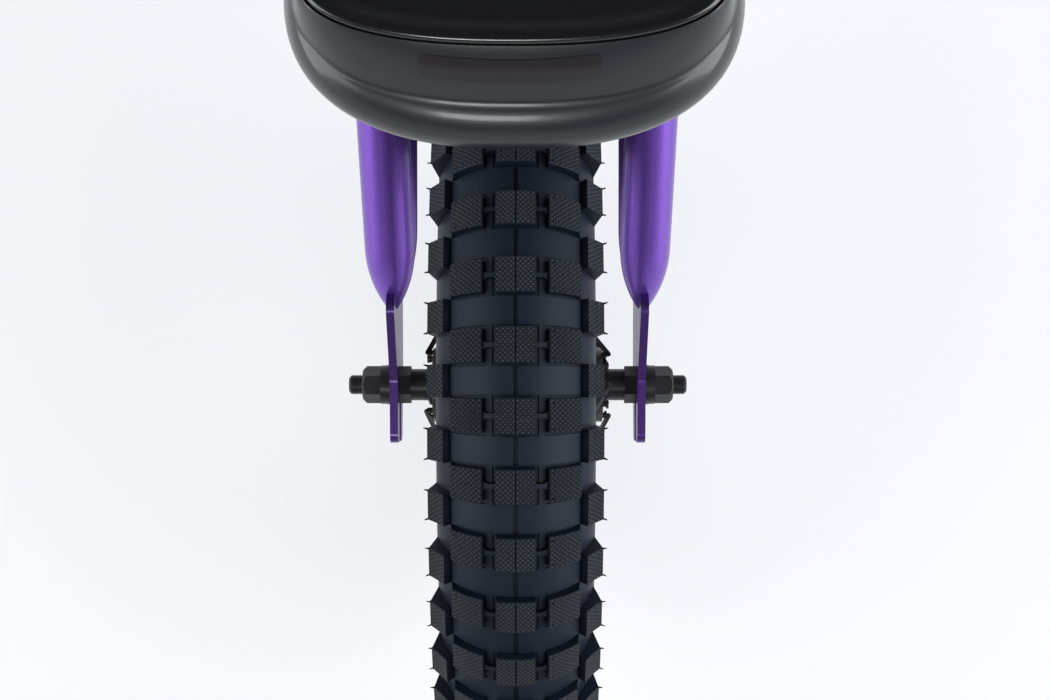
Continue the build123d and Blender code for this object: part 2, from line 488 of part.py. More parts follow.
def wheel(name, location):
    """Everything that turns with one wheel, built about Y and moved to its axle."""
    lines = spoke_lines()
    along = [(end - start).normalized() for start, end, _ in lines]
    tyre = revolve(tyre_face(), Axis.Y)

    middle = TYRE_RADIUS - TREAD_DEPTH - CASING_RADIUS
    tube_radius = CASING_RADIUS - CASING_WALL - SEAT_GAP
    section = Pos(middle, 0) * (Circle(tube_radius) - Circle(tube_radius - TUBE_RUBBER))
    inner_tube = revolve(section, Axis.Y)

    valve_at = math.degrees(math.pi / SPOKE_COUNT)
    tube_foot = middle - tube_radius
    aim = Rot(0, valve_at, 0) * Rot(0, -90, 0)
    stem_low = tube_foot - VALVE_LENGTH
    valve = ring(0, VALVE_RADIUS, -tube_foot + 0.4, -stem_low)
    cap = ring(0, VALVE_RADIUS + 1.0, -stem_low + 0.05, -stem_low + 3) + ring(
        0, VALVE_RADIUS + 0.6, -stem_low + 3, -stem_low + VALVE_CAP_LENGTH - 4)
    valve_hole = aim * ring(0, VALVE_RADIUS + 0.2, -BEAD_SEAT_RADIUS - 3, RIM_DEPTH + 5 - BEAD_SEAT_RADIUS)

    ends = [end for _, end, _ in lines]
    holes = [rod(end - way * 14, end + way * 3.5, NIPPLE_RADIUS + 0.2) for end, way in zip(ends, along)]
    rim = revolve(rim_face(), Axis.Y) - (holes + [valve_hole])

    nipples, spokes = [], []
    for (start, end, head), way in zip(lines, along):
        seat = end + way * 1.6
        shank = rod(end - way * (NIPPLE_LENGTH - 2), seat, NIPPLE_RADIUS)
        nipple = shank + rod(seat, seat + way * 1.6, NIPPLE_HEAD_RADIUS)
        spoke = rod(start, end, SPOKE_RADIUS) + rod(start, head, SPOKE_RADIUS)
        spoke += Pos(*start) * Sphere(SPOKE_RADIUS)
        spoke += rod(head, head + (head - start).normalized(), SPOKE_HEAD_RADIUS)
        nipples.append(nipple - rod(start, end + way * 9, SPOKE_RADIUS + 0.02))
        spokes.append(spoke)

    flange_back = FLANGE_FACE - FLANGE_THICKNESS
    cup_wall = BALL_CIRCLE + BALL_RADIUS + SEAT_GAP
    cup_floor = BALL_PLANE - BALL_RADIUS - SEAT_GAP
    half = [(HUB_BARREL_RADIUS, cup_floor - 6), (CUP_HOUSING_RADIUS, cup_floor - 3),
            (CUP_HOUSING_RADIUS, flange_back), (FLANGE_RADIUS, flange_back), (FLANGE_RADIUS, FLANGE_FACE),
            (cup_wall, FLANGE_FACE), (cup_wall, cup_floor), (HUB_BORE_RADIUS, cup_floor)]
    hub = lathe_y(*half, *[(r, -y) for r, y in reversed(half)])
    hub -= [rod(start, head + (head - start) * 2, SPOKE_RADIUS + 0.2) for start, _, head in lines]

    turns = [math.radians(360 * index / BALL_COUNT) for index in range(BALL_COUNT)]
    ring_of_spots = [(BALL_CIRCLE * math.cos(turn), BALL_CIRCLE * math.sin(turn)) for turn in turns]
    spots = [(x, y, z) for y in (BALL_PLANE, -BALL_PLANE) for x, z in ring_of_spots]
    balls = [Pos(*spot) * Sphere(BALL_RADIUS) for spot in spots]

    groups = {"tyre": [tyre], "inner_tube": [inner_tube], "rim": [rim], "spokes": spokes,
              "spoke_nipples": nipples, "hub_shell": [hub], "hub_balls": balls,
              "valve": [aim * valve, aim * cap]}
    for part, shapes in groups.items():
        save(f"{name}_{part}", *[location * shape for shape in shapes])


def axle_set(name, location):
    """The axle and what is threaded on it; none of it turns with the wheel."""
    bore = AXLE_RADIUS + SEAT_GAP
    face = OVER_LOCKNUTS / 2
    locknut_low = face - LOCKNUT_HEIGHT
    race_turn = math.sqrt(2) * (BALL_RADIUS + ROLLING_GAP)
    race_start = BALL_PLANE - BALL_CIRCLE + race_turn + CONE_RACE_RADIUS
    race_end = race_start + CONE_FACE_RADIUS - CONE_RACE_RADIUS
    cone = lathe_y((bore, BALL_PLANE - BALL_RADIUS), (CONE_RACE_RADIUS, BALL_PLANE - BALL_RADIUS),
                   (CONE_RACE_RADIUS, race_start), (CONE_FACE_RADIUS, race_end),
                   (CONE_FACE_RADIUS, race_end + 0.8), (CONE_RADIUS, race_end + 1.6),
                   (CONE_RADIUS, locknut_low), (bore, locknut_low))
    locknut = across(hexagon(LOCKNUT_FLATS, locknut_low, face) - ring(0, bore, locknut_low, face))
    washer_low = face + DROPOUT_THICKNESS
    nut_low = washer_low + WASHER_HEIGHT
    flange_top = nut_low + NUT_FLANGE_HEIGHT
    nut_top = flange_top + NUT_HEIGHT
    washer = across(ring(bore, WASHER_RADIUS, washer_low, nut_low))
    dome = Cone(NUT_FLATS, NUT_FLATS / 2 - 0.4, 7.5, align=(Align.CENTER, Align.CENTER, Align.MAX))
    dome = Pos(0, 0, nut_top) * dome
    nut = hexagon(NUT_FLATS, flange_top, nut_top) & dome
    nut += ring(bore, NUT_FLANGE_RADIUS, nut_low, flange_top)
    nut = across(nut - ring(0, bore, nut_low, nut_top))
    thread_end = nut_top + AXLE_END_GAP
    axle = chamfer(ring(0, AXLE_END_RADIUS, -AXLE_HALF, AXLE_HALF).edges().filter_by(GeomType.CIRCLE), 0.8)
    axle = across(axle + ring(0, AXLE_RADIUS, -thread_end, thread_end))
    groups = {"axle": [axle], "hub_cones": [*both(cone), *both(locknut)],
              "axle_washers": both(washer), "axle_nuts": both(nut)}
    for part, shapes in groups.items():
        save(f"{name}_{part}", *[location * shape for shape in shapes])


# ---------------------------------------------------------------- seat post and saddle

def seat_clamp():
    """The collar round the top of the seat tube, with its screw."""
    low, high = SEAT_TUBE_HIGH - COLLAR_HEIGHT, SEAT_TUBE_HIGH
    outer = SEAT_TUBE_RADIUS + COLLAR_WALL
    lug_x = -outer - 3.5
    collar = ring(0, outer, low, high) + box((-outer - 8, -outer + 3), (-9, 9), (low, high))
    collar -= ring(0, SEAT_TUBE_RADIUS + SEAT_GAP, low - 1, high + 1)
    collar -= box((-outer - 10, -SEAT_TUBE_RADIUS + 2), (-1, 1), (low - 1, high + 1))
    bolt_frame = Pos(lug_x, 0, (low + high) / 2)
    collar -= bolt_frame * across(ring(0, M5 + HOLE_CLEARANCE, -12, 12))
    bolt = across(ring(0, M5, -9, 9) + ring(0, 4.4, 9, 14))
    nut = across(ring(0, M5 + 1.8, -13, -9))
    save("seat_clamp", SEAT.location * collar)
    save("seat_clamp_bolt", SEAT.location * bolt_frame * (bolt + nut))


def post_and_clamp():
    """Seat post, the band at its head, the bolt, and the four plates that grip the rails."""
    post = ring(POST_RADIUS - 2 * TUBE_WALL, POST_RADIUS, POST_LOW, POST_HIGH)
    save("seat_post", SEAT.location * post)

    head_height = (SADDLE_BOLT_HEIGHT - SEAT.origin.Z) / math.sin(math.radians(SEAT_ANGLE))
    head = axis_point(SEAT, head_height)
    bolt_x = head.X + SADDLE_BOLT_AHEAD
    at_bolt = Pos(bolt_x, 0, SADDLE_BOLT_HEIGHT)
    ear = RAIL_SPREAD - 6.5
    band = SEAT.location * ring(0, ear, head_height - 11, head_height + 9)
    band += box((head.X, bolt_x), (-ear, ear), (SADDLE_BOLT_HEIGHT - 9, SADDLE_BOLT_HEIGHT + 9))
    band += at_bolt * across(ring(0, 9, -ear, ear))
    band -= SEAT.location * ring(0, POST_RADIUS + SEAT_GAP, head_height - 20, head_height + 20)
    band -= box((head.X + POST_RADIUS + 3, bolt_x + 12), (5 - ear, ear - 5),
                (SADDLE_BOLT_HEIGHT - 34, SADDLE_BOLT_HEIGHT + 26))
    band -= at_bolt * across(ring(0, M8 + HOLE_CLEARANCE, -20, 20))
    save("saddle_clamp_band", band)

    gap = 0.25
    outer_face = RAIL_SPREAD + 6.5
    groove = Pos(0, 0, RAIL_ABOVE_BOLT) * Rot(0, 90, 0) * ring(0, RAIL_RADIUS + RAIL_CLEARANCE, -30, 30)
    plates = []
    for low, high in ((ear + 0.3, RAIL_SPREAD - gap), (RAIL_SPREAD + gap, outer_face)):
        disc = across(ring(M8 + RAIL_CLEARANCE, 17, low, high)) - Pos(0, RAIL_SPREAD, 0) * groove
        plates += both(disc)
    save("saddle_clamp_plates", *[at_bolt * shape for shape in plates])

    bolt = ring(0, M8, -outer_face - 9, outer_face + 9)
    nuts = hexagon(13, outer_face + 0.3, outer_face + 6.3) + hexagon(13, -outer_face - 6.3, -outer_face - 0.3)
    save("saddle_clamp_bolt", at_bolt * across(bolt + nuts))
    return bolt_x


def saddle_outline(inset):
    """The saddle's plan at a stated inset from its widest line: a superellipse tail that runs
    into a slender nose."""
    depth, width = SADDLE_TAIL_DEPTH - inset, SADDLE_HALF_WIDTH - inset
    power = 2 / SADDLE_TAIL_POWER
    widest = SADDLE_TAIL + SADDLE_TAIL_DEPTH
    tail = []
    for turn in (0, 20, 45, 70, 90):
        angle = math.radians(turn)
        tail.append((widest - depth * math.cos(angle) ** power, width * math.sin(angle) ** power))
    length = SADDLE_NOSE - SADDLE_NOSE_RADIUS - widest
    flank = ((0.34, 0.80), (0.60, 0.53), (0.82, 0.41))  # share of that length, of the half-width
    nose = [(widest + length * along, SADDLE_HALF_WIDTH * share - inset) for along, share in flank]
    for turn in (80, 50, 25):
        angle = math.radians(turn)
        reach = SADDLE_NOSE_RADIUS - inset
        nose.append((SADDLE_NOSE - SADDLE_NOSE_RADIUS + reach * math.cos(angle), reach * math.sin(angle)))
    points = tail + nose + [(SADDLE_NOSE - inset, 0)]
    half = Spline(*points, tangents=[(0, 1), (0, -1)])
    return make_face([half.edge(), mirror(half, about=Plane.XZ).edge()])


def saddle(bolt_x):
    """Steel rails, plastic base with sockets for them, and the pad on top."""
    rail_z = SADDLE_BOLT_HEIGHT + RAIL_ABOVE_BOLT
    level = (bolt_x - 45, bolt_x + 45)
    socket_z = SADDLE_SEAM - SADDLE_SHELL - 0.4
    route = [(level[0] - 40, 32, socket_z), (level[0], RAIL_SPREAD, rail_z),
             (level[1], RAIL_SPREAD, rail_z), (level[1] + 45, 8, socket_z)]
    path = FilletPolyline(*route, radius=14)
    rail = bent(path, RAIL_RADIUS)
    save("saddle_rails", *both(rail))

    shell = extrude(Pos(0, 0, SADDLE_BOTTOM) * saddle_outline(0), SADDLE_SEAM - SADDLE_BOTTOM)
    shell -= extrude(Pos(0, 0, SADDLE_BOTTOM - 1) * saddle_outline(SADDLE_SHELL),
                     SADDLE_SEAM - SADDLE_SHELL - SADDLE_BOTTOM + 1)
    bosses = [Pos(route[0][0], y, 0) * ring(0, 8, SADDLE_BOTTOM, SADDLE_SEAM - 1) for y in (-32, 32)]
    bosses += [Pos(route[-1][0], 0, 0) * ring(0, 17, SADDLE_BOTTOM, SADDLE_SEAM - 1)]
    base = shell + bosses
    base -= both(bent(path, RAIL_RADIUS + RAIL_CLEARANCE))
    base = max(base.solids(), key=lambda solid: solid.volume)
    save("saddle_base", base)

    sections = [Pos(0, 0, SADDLE_SEAM + 0.05 + rise) * saddle_outline(inset) for rise, inset in PAD_STEPS]
    layers = [loft(pair) for pair in zip(sections, sections[1:])]
    save("saddle_pad", layers[0] + layers[1:])


def main():
    os.makedirs("parts", exist_ok=True)
    seat_tube_cut = front_frame()
    rear_triangle(seat_tube_cut)
    fork()
    headset()
    stem()
    handlebar()
    for name, axle in (("rear", REAR_AXLE), ("front", FRONT_AXLE)):
        wheel(name, Pos(*axle))
        axle_set(name, Pos(*axle))
    seat_clamp()
    saddle(post_and_clamp())


if __name__ == "__main__":
    main()
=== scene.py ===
"""Looks of a child's balance bike in the BMX style: meshes, finishes, light and camera.

Every length is in metres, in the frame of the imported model: X forward, Y to the rider's left, Z up,
with the floor at Z = 0 and the origin midway between the axles.
"""
import json
import logging
import math
from dataclasses import dataclass
from enum import Enum
from typing import Optional, Sequence, Union

import bmesh
import bpy
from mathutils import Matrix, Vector


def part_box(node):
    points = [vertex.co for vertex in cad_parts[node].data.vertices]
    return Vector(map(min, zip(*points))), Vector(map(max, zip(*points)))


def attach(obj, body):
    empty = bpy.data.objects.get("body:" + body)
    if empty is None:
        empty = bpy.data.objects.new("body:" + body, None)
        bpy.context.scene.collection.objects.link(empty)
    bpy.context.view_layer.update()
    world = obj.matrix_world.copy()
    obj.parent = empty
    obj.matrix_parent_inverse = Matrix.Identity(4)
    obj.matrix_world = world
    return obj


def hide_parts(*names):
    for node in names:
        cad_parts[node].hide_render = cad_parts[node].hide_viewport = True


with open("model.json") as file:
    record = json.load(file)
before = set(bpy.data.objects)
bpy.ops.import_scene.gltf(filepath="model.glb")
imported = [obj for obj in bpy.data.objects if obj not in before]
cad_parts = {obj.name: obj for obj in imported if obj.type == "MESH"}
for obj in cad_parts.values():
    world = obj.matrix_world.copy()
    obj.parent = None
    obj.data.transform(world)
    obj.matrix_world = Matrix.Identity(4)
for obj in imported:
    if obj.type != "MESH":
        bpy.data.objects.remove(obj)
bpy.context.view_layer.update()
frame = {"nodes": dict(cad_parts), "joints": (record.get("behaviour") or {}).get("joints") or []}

log = logging.getLogger("bike")

Point = tuple[float, float, float]
Pair = tuple[float, float]
Number = Union[int, float]

MM = 0.001
LEFT, RIGHT = 1, -1
OFF_MAP = (99.0, 99.0)  # on a tyre's map, a place that no block top has


# ------------------------------------------------------------------ where things are

@dataclass(frozen=True)
class Layout:
    """Places that several sub-assemblies share, worked out from the frame's joints and boxes."""

    rear_axle: Vector
    front_axle: Vector
    steering_point: Vector
    steering_axis: Vector
    seat_axis: Vector
    bar_centre: Vector
    tyre_radius: float

    @classmethod
    def from_frame(cls) -> "Layout":
        """Read the axles, the steering axis and the other joints.

        Returns:
            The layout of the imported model.
        """
        joints = {joint["name"]: joint for joint in frame["joints"]}
        low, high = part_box("rear_tyre")
        return cls(
            rear_axle=Vector(joints["rear_wheel_spin"]["pos_m"]),
            front_axle=Vector(joints["front_wheel_spin"]["pos_m"]),
            steering_point=Vector(joints["steering_turn"]["pos_m"]),
            steering_axis=Vector(joints["steering_turn"]["axis"]).normalized(),
            seat_axis=Vector(joints["seat_height"]["axis"]).normalized(),
            bar_centre=Vector(joints["handlebar_roll"]["pos_m"]),
            tyre_radius=(high[2] - low[2]) / 2,
        )


# ------------------------------------------------------------------ shader building

class Value:
    """A node's output that can stand in arithmetic; each operation adds one Math node."""

    def __init__(self, shader: "Shader", socket: bpy.types.NodeSocket) -> None:
        """Keep the socket and the tree it belongs to."""
        self.shader, self.socket = shader, socket

    def _math(self, operation: str, *operands: Union["Value", Number]) -> "Value":
        """Add a Math node.

        Args:
            operation: The node's operation.
            operands: Its inputs in order.

        Returns:
            The node's result.
        """
        node = self.shader.node("ShaderNodeMath", {"operation": operation}, dict(enumerate(operands)))
        return Value(self.shader, node.outputs[0])

    def __add__(self, other: Union["Value", Number]) -> "Value":
        """Sum."""
        return self._math("ADD", self, other)

    def __sub__(self, other: Union["Value", Number]) -> "Value":
        """Difference."""
        return self._math("SUBTRACT", self, other)

    def __rsub__(self, other: Number) -> "Value":
        """Difference from a number."""
        return self._math("SUBTRACT", other, self)

    def __mul__(self, other: Union["Value", Number]) -> "Value":
        """Product."""
        return self._math("MULTIPLY", self, other)

    def __truediv__(self, other: Union["Value", Number]) -> "Value":
        """Quotient."""
        return self._math("DIVIDE", self, other)

    def __pow__(self, other: Number) -> "Value":
        """Power."""
        return self._math("POWER", self, other)

    __radd__, __rmul__ = __add__, __mul__

    def step(self, edge: float, softness: float) -> "Value":
        """Rise from 0 to 1 around an edge.

        Args:
            edge: Where the result is one half.
            softness: The width over which it rises.

        Returns:
            The mask.
        """
        ranged = self.shader.node("ShaderNodeMapRange", {"interpolation_type": "SMOOTHSTEP"}, {
            "Value": self, "From Min": edge - softness / 2, "From Max": edge + softness / 2})
        return Value(self.shader, ranged.outputs[0])

    def wave(self) -> "Value":
        """A triangle wave of period 1: 0 at whole numbers, 1 halfway between them."""
        return self._math("PINGPONG", self * 2, 1.0)

    def least(self, other: "Value") -> "Value":
        """The smaller of two values."""
        return self._math("MINIMUM", self, other)

    def magnitude(self) -> "Value":
        """The value without its sign."""
        return self._math("ABSOLUTE", self)


class Shader:
    """One material's node tree."""

    def __init__(self, name: str) -> None:
        """Start a material with a Principled shader and nothing else.

        Args:
            name: The material's name.
        """
        self.material = bpy.data.materials.new(name)
        self.material.use_nodes = True
        self.tree = self.material.node_tree
        self.tree.nodes.clear()
        self.surface = self.tree.nodes.new("ShaderNodeBsdfPrincipled")
        output = self.tree.nodes.new("ShaderNodeOutputMaterial")
        self.tree.links.new(self.surface.outputs[0], output.inputs["Surface"])

    def node(self, kind: str, settings: dict, inputs: dict) -> bpy.types.Node:
        """Add any node.

        Args:
            kind: The node's type.
            settings: Its properties, set before its inputs.
            inputs: Values or links, by socket name or number.

        Returns:
            The new node.
        """
        made = self.tree.nodes.new(kind)
        for name, value in settings.items():
            setattr(made, name, value)
        for key, value in inputs.items():
            self.put(made.inputs[key], value)
        return made

    def put(self, socket: bpy.types.NodeSocket, value: object) -> None:
        """Set a socket's own value, or link a node's output to it."""
        if isinstance(value, Value):
            self.tree.links.new(value.socket, socket)
        elif isinstance(value, bpy.types.NodeSocket):
            self.tree.links.new(value, socket)
        else:
            socket.default_value = value

    def place(self) -> bpy.types.NodeSocket:
        """Object coordinates."""
        return self.node("ShaderNodeTexCoord", {}, {}).outputs["Object"]

    def own_map(self) -> tuple[Value, Value]:
        """The piece's own UV map, as its two values."""
        parts = self.node("ShaderNodeSeparateXYZ", {}, {0: self.node("ShaderNodeUVMap", {}, {}).outputs[0]})
        return Value(self, parts.outputs[0]), Value(self, parts.outputs[1])

    def noise(self, scale: float, detail: float = 2.0, roughness: float = 0.5,
              stretch: Point = (1.0, 1.0, 1.0)) -> Value:
        """Noise in object space.

        Args:
            scale: Repeats for each metre.
            detail: Octaves.
            roughness: How strong the fine octaves are.
            stretch: Scale along each axis.

        Returns:
            A value around one half.
        """
        placed = self.node("ShaderNodeMapping", {}, {"Vector": self.place(), "Scale": stretch})
        made = self.node("ShaderNodeTexNoise", {}, {
            "Vector": placed.outputs[0], "Scale": scale, "Detail": detail, "Roughness": roughness})
        return Value(self, made.outputs["Fac"])

    def mix(self, share: Value, first: object, second: object) -> bpy.types.NodeSocket:
        """Mix two colours.

        Args:
            share: 0 gives the first, 1 the second.
            first: A colour or a link.
            second: A colour or a link.

        Returns:
            The mixed colour.
        """
        made = self.node("ShaderNodeMix", {"data_type": "RGBA"}, {})
        self.put(made.inputs["Factor"], share)
        self.put(made.inputs[6], first)
        self.put(made.inputs[7], second)
        return made.outputs[2]

    def bump(self, height: Value, depth: float, strength: float = 1.0,
             below: Optional[bpy.types.NodeSocket] = None) -> bpy.types.NodeSocket:
        """A Bump node, over another one if it is given.

        Args:
            height: The relief, from 0 to 1.
            depth: Its height in metres.
            strength: How much of it shows.
            below: The normal of a coarser bump.

        Returns:
            The bent normal.
        """
        inputs = {"Height": height, "Distance": depth, "Strength": strength}
        if below is not None:
            inputs["Normal"] = below
        return self.node("ShaderNodeBump", {}, inputs).outputs[0]

    def done(self, **sockets: object) -> bpy.types.Material:
        """Set the shader's sockets, with _ for a space in their names, and give the material."""
        for name, value in sockets.items():
            self.put(self.surface.inputs[name.replace("_", " ")], value)
        return self.material


def colour(red: float, green: float, blue: float) -> tuple[float, float, float, float]:
    """A linear colour with full alpha."""
    return (red, green, blue, 1.0)


# ------------------------------------------------------------------ finishes

@dataclass(frozen=True)
class CandyPaint:
    """Purple metallic lacquer over a bright base, as on the frame and fork."""

    name: str = "candy_purple"
    deep: tuple = colour(0.132, 0.052, 0.348)
    bright: tuple = colour(0.256, 0.122, 0.600)
    flake: float = 2600.0

    def material(self) -> bpy.types.Material:
        """Build the finish.

        Returns:
            A metallic shader with fine flake, slow colour drift and orange peel.
        """
        s = Shader(self.name)
        flakes = s.noise(self.flake, 1.0).step(0.56, 0.16)
        drift = s.noise(9.0, 2.0)
        base = s.mix(flakes * 0.45 + drift * 0.35, self.deep, self.bright)
        peel = s.bump(s.noise(420.0, 1.0), 0.00006, 0.25)
        rough = s.noise(60.0, 3.0) * 0.08 + 0.34
        return s.done(Base_Color=base, Metallic=0.85, Roughness=rough, Normal=peel,
                      Coat_Weight=0.35, Coat_Roughness=0.10, Coat_IOR=1.45)


@dataclass(frozen=True)
class BlackPaint:
    """Satin black powder coat or anodising."""

    name: str = "satin_black"
    tone: tuple = colour(0.012, 0.012, 0.014)
    worn: tuple = colour(0.030, 0.030, 0.034)
    rough: float = 0.36
    grain: float = 900.0
    metal: float = 0.0

    def material(self) -> bpy.types.Material:
        """Build the finish.

        Returns:
            A dark satin shader with a fine powder texture.
        """
        s = Shader(self.name)
        powder = s.noise(self.grain, 2.0)
        base = s.mix(s.noise(35.0, 4.0).step(0.58, 0.3) * 0.6, self.tone, self.worn)
        rough = s.noise(120.0, 3.0) * 0.16 + self.rough
        return s.done(Base_Color=base, Roughness=rough, Metallic=self.metal,
                      Normal=s.bump(powder, 0.00005, 0.5))


@dataclass(frozen=True)
class BareSteel:
    """Plain or plated steel with a brushed look."""

    name: str
    tone: tuple
    rough: float = 0.28
    stretch: Point = (1.0, 0.05, 1.0)

    def material(self) -> bpy.types.Material:
        """Build the finish.

        Returns:
            A metal shader with fine brushing.
        """
        s = Shader(self.name)
        brushed = s.noise(1800.0, 3.0, stretch=self.stretch)
        base = s.mix(brushed * 0.5, self.tone, colour(*(0.6 * part for part in self.tone[:3])))
        rough = brushed * 0.16 + self.rough
        return s.done(Base_Color=base, Metallic=1.0, Roughness=rough, Normal=s.bump(brushed, 0.00002, 0.4))


@dataclass(frozen=True)
class TreadRubber:
    """Blue-black tyre rubber; block tops carry a diamond knurl painted as lit teeth and shaded valleys, mould pits
    painted near-black as painted shade, and a little dust.

    The piece's UV map holds millimetres on the block tops, from the block's middle, and is far
    outside that range everywhere else.
    """

    base: tuple = colour(0.0040, 0.0070, 0.0125)
    shaded_valley: tuple = colour(0.0020, 0.0026, 0.0036)
    lit_tooth: tuple = colour(0.030, 0.036, 0.046)
    dust: tuple = colour(0.20, 0.155, 0.10)
    knurl_pitch: float = 1.15
    pit_at: Pair = (3.6, 4.1)
    pit_radius: float = 0.42

    def material(self) -> bpy.types.Material:
        """Build the finish.

        Returns:
            A matte rubber shader.
        """
        s = Shader("tread_rubber")
        across, along = s.own_map()
        on_top = 1 - across.step(60.0, 0.5)
        turned = 1 / (self.knurl_pitch * math.sqrt(2))
        rising = ((across + along) * turned).wave()
        falling = ((across - along) * turned).wave()
        teeth = rising.least(falling) * on_top
        grime = s.noise(700.0, 4.0, 0.7)
        wear = s.noise(55.0, 3.0)
        # The knurl is painted light and shade: the lighter teeth are painted highlight, the darker valleys painted
        # shade; the wear noise varies how strongly it shows.
        knurl = s.mix(teeth.step(0.45, 0.5) * (wear * 0.9 + 0.25), self.shaded_valley, self.lit_tooth)
        base = s.mix(on_top, self.base, knurl)
        specks = grime.step(0.70, 0.08) * on_top * s.noise(23.0, 1.0).step(0.58, 0.12)
        base = s.mix(specks * 0.8, base, self.dust)
        pit = self._pits(s, across, along)
        # Near-black in the vent pits: painted shade in the holes.
        base = s.mix(pit, base, colour(0.001, 0.001, 0.001))
        skin = s.bump(s.noise(1500.0, 3.0), 0.00004, 0.35)
        relief = s.bump(teeth - pit * 0.8, 0.00045, 0.9, skin)
        rough = wear * 0.18 + 0.42 + teeth * 0.06
        return s.done(Base_Color=base, Roughness=rough, Normal=relief, Specular_IOR_Level=0.15,
                      Specular_Tint=colour(0.80, 0.90, 1.0))

    def _pits(self, s: Shader, across: Value, along: Value) -> Value:
        """Masks for the small vent pits near the inner corners of the side blocks."""
        far_across = across.magnitude() - self.pit_at[0]
        far_along = along.magnitude() - self.pit_at[1]
        distance = (far_across * far_across + far_along * far_along) ** 0.5
        return (1 - distance.step(self.pit_radius, 0.15)) * across.step(0.0, 0.1)


@dataclass(frozen=True)
class PlainRubber:
    """Matte black rubber with a fine skin, for grips and inner tubes."""

    name: str = "plain_rubber"
    tone: tuple = colour(0.014, 0.014, 0.016)
    rough: float = 0.62

    def material(self) -> bpy.types.Material:
        """Build the finish.

        Returns:
            A matte shader.
        """
        s = Shader(self.name)
        skin = s.noise(1300.0, 3.0)
        base = s.mix(s.noise(40.0, 3.0), self.tone, colour(*(1.9 * part for part in self.tone[:3])))
        return s.done(Base_Color=base, Roughness=skin * 0.14 + self.rough, Normal=s.bump(skin, 0.00006, 0.5))


@dataclass(frozen=True)
class SaddleSkin:
    """Moulded black skin of the saddle: satin on the bumper, glossy on the seat."""

    name: str
    tone: tuple
    rough: float
    coat: float
    grain: float = 0.0

    def material(self) -> bpy.types.Material:
        """Build the finish.

        Returns:
            A smooth dark shader, with leather grain if it has any.
        """
        s = Shader(self.name)
        cloud = s.noise(26.0, 4.0)
        base = s.mix(cloud, self.tone, colour(*(1.35 * part for part in self.tone[:3])))
        smudge = s.noise(70.0, 5.0, 0.6) * 0.10 + self.rough
        cells = s.node("ShaderNodeTexVoronoi", {"feature": "F1"}, {"Vector": s.place(), "Scale": 950.0})
        relief = s.bump(Value(s, cells.outputs["Distance"]), 0.00008, self.grain)
        return s.done(Base_Color=base, Roughness=smudge, Normal=relief, Coat_Weight=self.coat, Coat_Roughness=0.12)


@dataclass(frozen=True)
class PaleFloor:
    """The studio floor: a light table that glows a little, so that no shadow falls on it."""

    tone: tuple = colour(0.20, 0.203, 0.208)
    glow: tuple = colour(0.80, 0.81, 0.845)
    strength: float = 0.84

    def material(self) -> bpy.types.Material:
        """Build a plain pale surface."""
        return Shader("floor").done(Base_Color=self.tone, Roughness=0.9, Specular_IOR_Level=0.1,
                                    Emission_Color=self.glow, Emission_Strength=self.strength)


class Finish(Enum):
    """Every finish on the bike, by the part of the bike that wears it."""

    PAINT = CandyPaint()
    # A darker copy of the frame's purple for the dropout plates: painted shade, so the plates look in shadow.
    SHADED_PLATE = CandyPaint("plate_purple_painted_shade", colour(0.050, 0.020, 0.135), colour(0.095, 0.044, 0.225))
    BLACK = BlackPaint()
    ALLOY = BlackPaint("black_alloy", colour(0.010, 0.010, 0.011), colour(0.020, 0.020, 0.022), 0.28, 500.0)
    HARDWARE = BlackPaint("black_hardware", colour(0.016, 0.016, 0.017), colour(0.05, 0.05, 0.052),
                          0.30, 700.0, 0.5)
    ZINC = BareSteel("bright_zinc", colour(0.62, 0.61, 0.60))
    BALL = BareSteel("ball_steel", colour(0.75, 0.75, 0.77), 0.08)
    TREAD = TreadRubber()
    GRIP = PlainRubber("grip_rubber", colour(0.012, 0.012, 0.014), 0.55)
    INNER = PlainRubber("inner_tube_rubber", colour(0.02, 0.02, 0.02), 0.5)
    CAP = PlainRubber("cap_plastic", colour(0.010, 0.010, 0.010), 0.35)
    BUMPER = SaddleSkin("saddle_bumper", colour(0.0055, 0.0068, 0.0095), 0.27, 0.30, 0.08)
    SEAT = SaddleSkin("saddle_seat", colour(0.003, 0.003, 0.0035), 0.16, 0.5, 0.03)
    LABEL = SaddleSkin("saddle_patch", colour(0.0055, 0.0042, 0.0052), 0.20, 0.2, 0.0)
    FLOOR = PaleFloor()


_made: dict[Finish, bpy.types.Material] = {}


def finish_of(finish: Finish) -> bpy.types.Material:
    """The material of a finish, built once."""
    if finish not in _made:
        _made[finish] = finish.value.material()
    return _made[finish]


# ------------------------------------------------------------------ mesh building

def rounded(mesh: bpy.types.Mesh, angle: float = 35.0) -> None:
    """Shade a mesh smooth except along edges sharper than an angle in degrees."""
    mesh.shade_smooth()
    mesh.set_sharp_from_angle(angle=math.radians(angle))


def add_object(name: str, mesh: bpy.types.Mesh, finish: Finish) -> bpy.types.Object:
    """Link a mesh as an object at the origin, wearing a finish.

    Args:
        name: The piece's name.
        mesh: Its mesh, already in place.
        finish: What it wears.

    Returns:
        The object.
    """
    made = bpy.data.objects.new(name, mesh)
    mesh.materials.clear()
    mesh.materials.append(finish_of(finish))
    bpy.context.scene.collection.objects.link(made)
    return made


def to_mesh(name: str, bm: bmesh.types.BMesh, angle: float = 35.0, mend: bool = True) -> bpy.types.Mesh:
    """Turn a bmesh into a mesh.

    Args:
        name: The mesh's name.
        bm: The bmesh, which is freed.
        angle: Edges sharper than this many degrees stay sharp.
        mend: Whether to recalculate normals outwards.

    Returns:
        The mesh.
    """
    if mend:
        bmesh.ops.recalc_face_normals(bm, faces=bm.faces[:])
    mesh = bpy.data.meshes.new(name)
    bm.to_mesh(mesh)
    bm.free()
    rounded(mesh, angle)
    return mesh


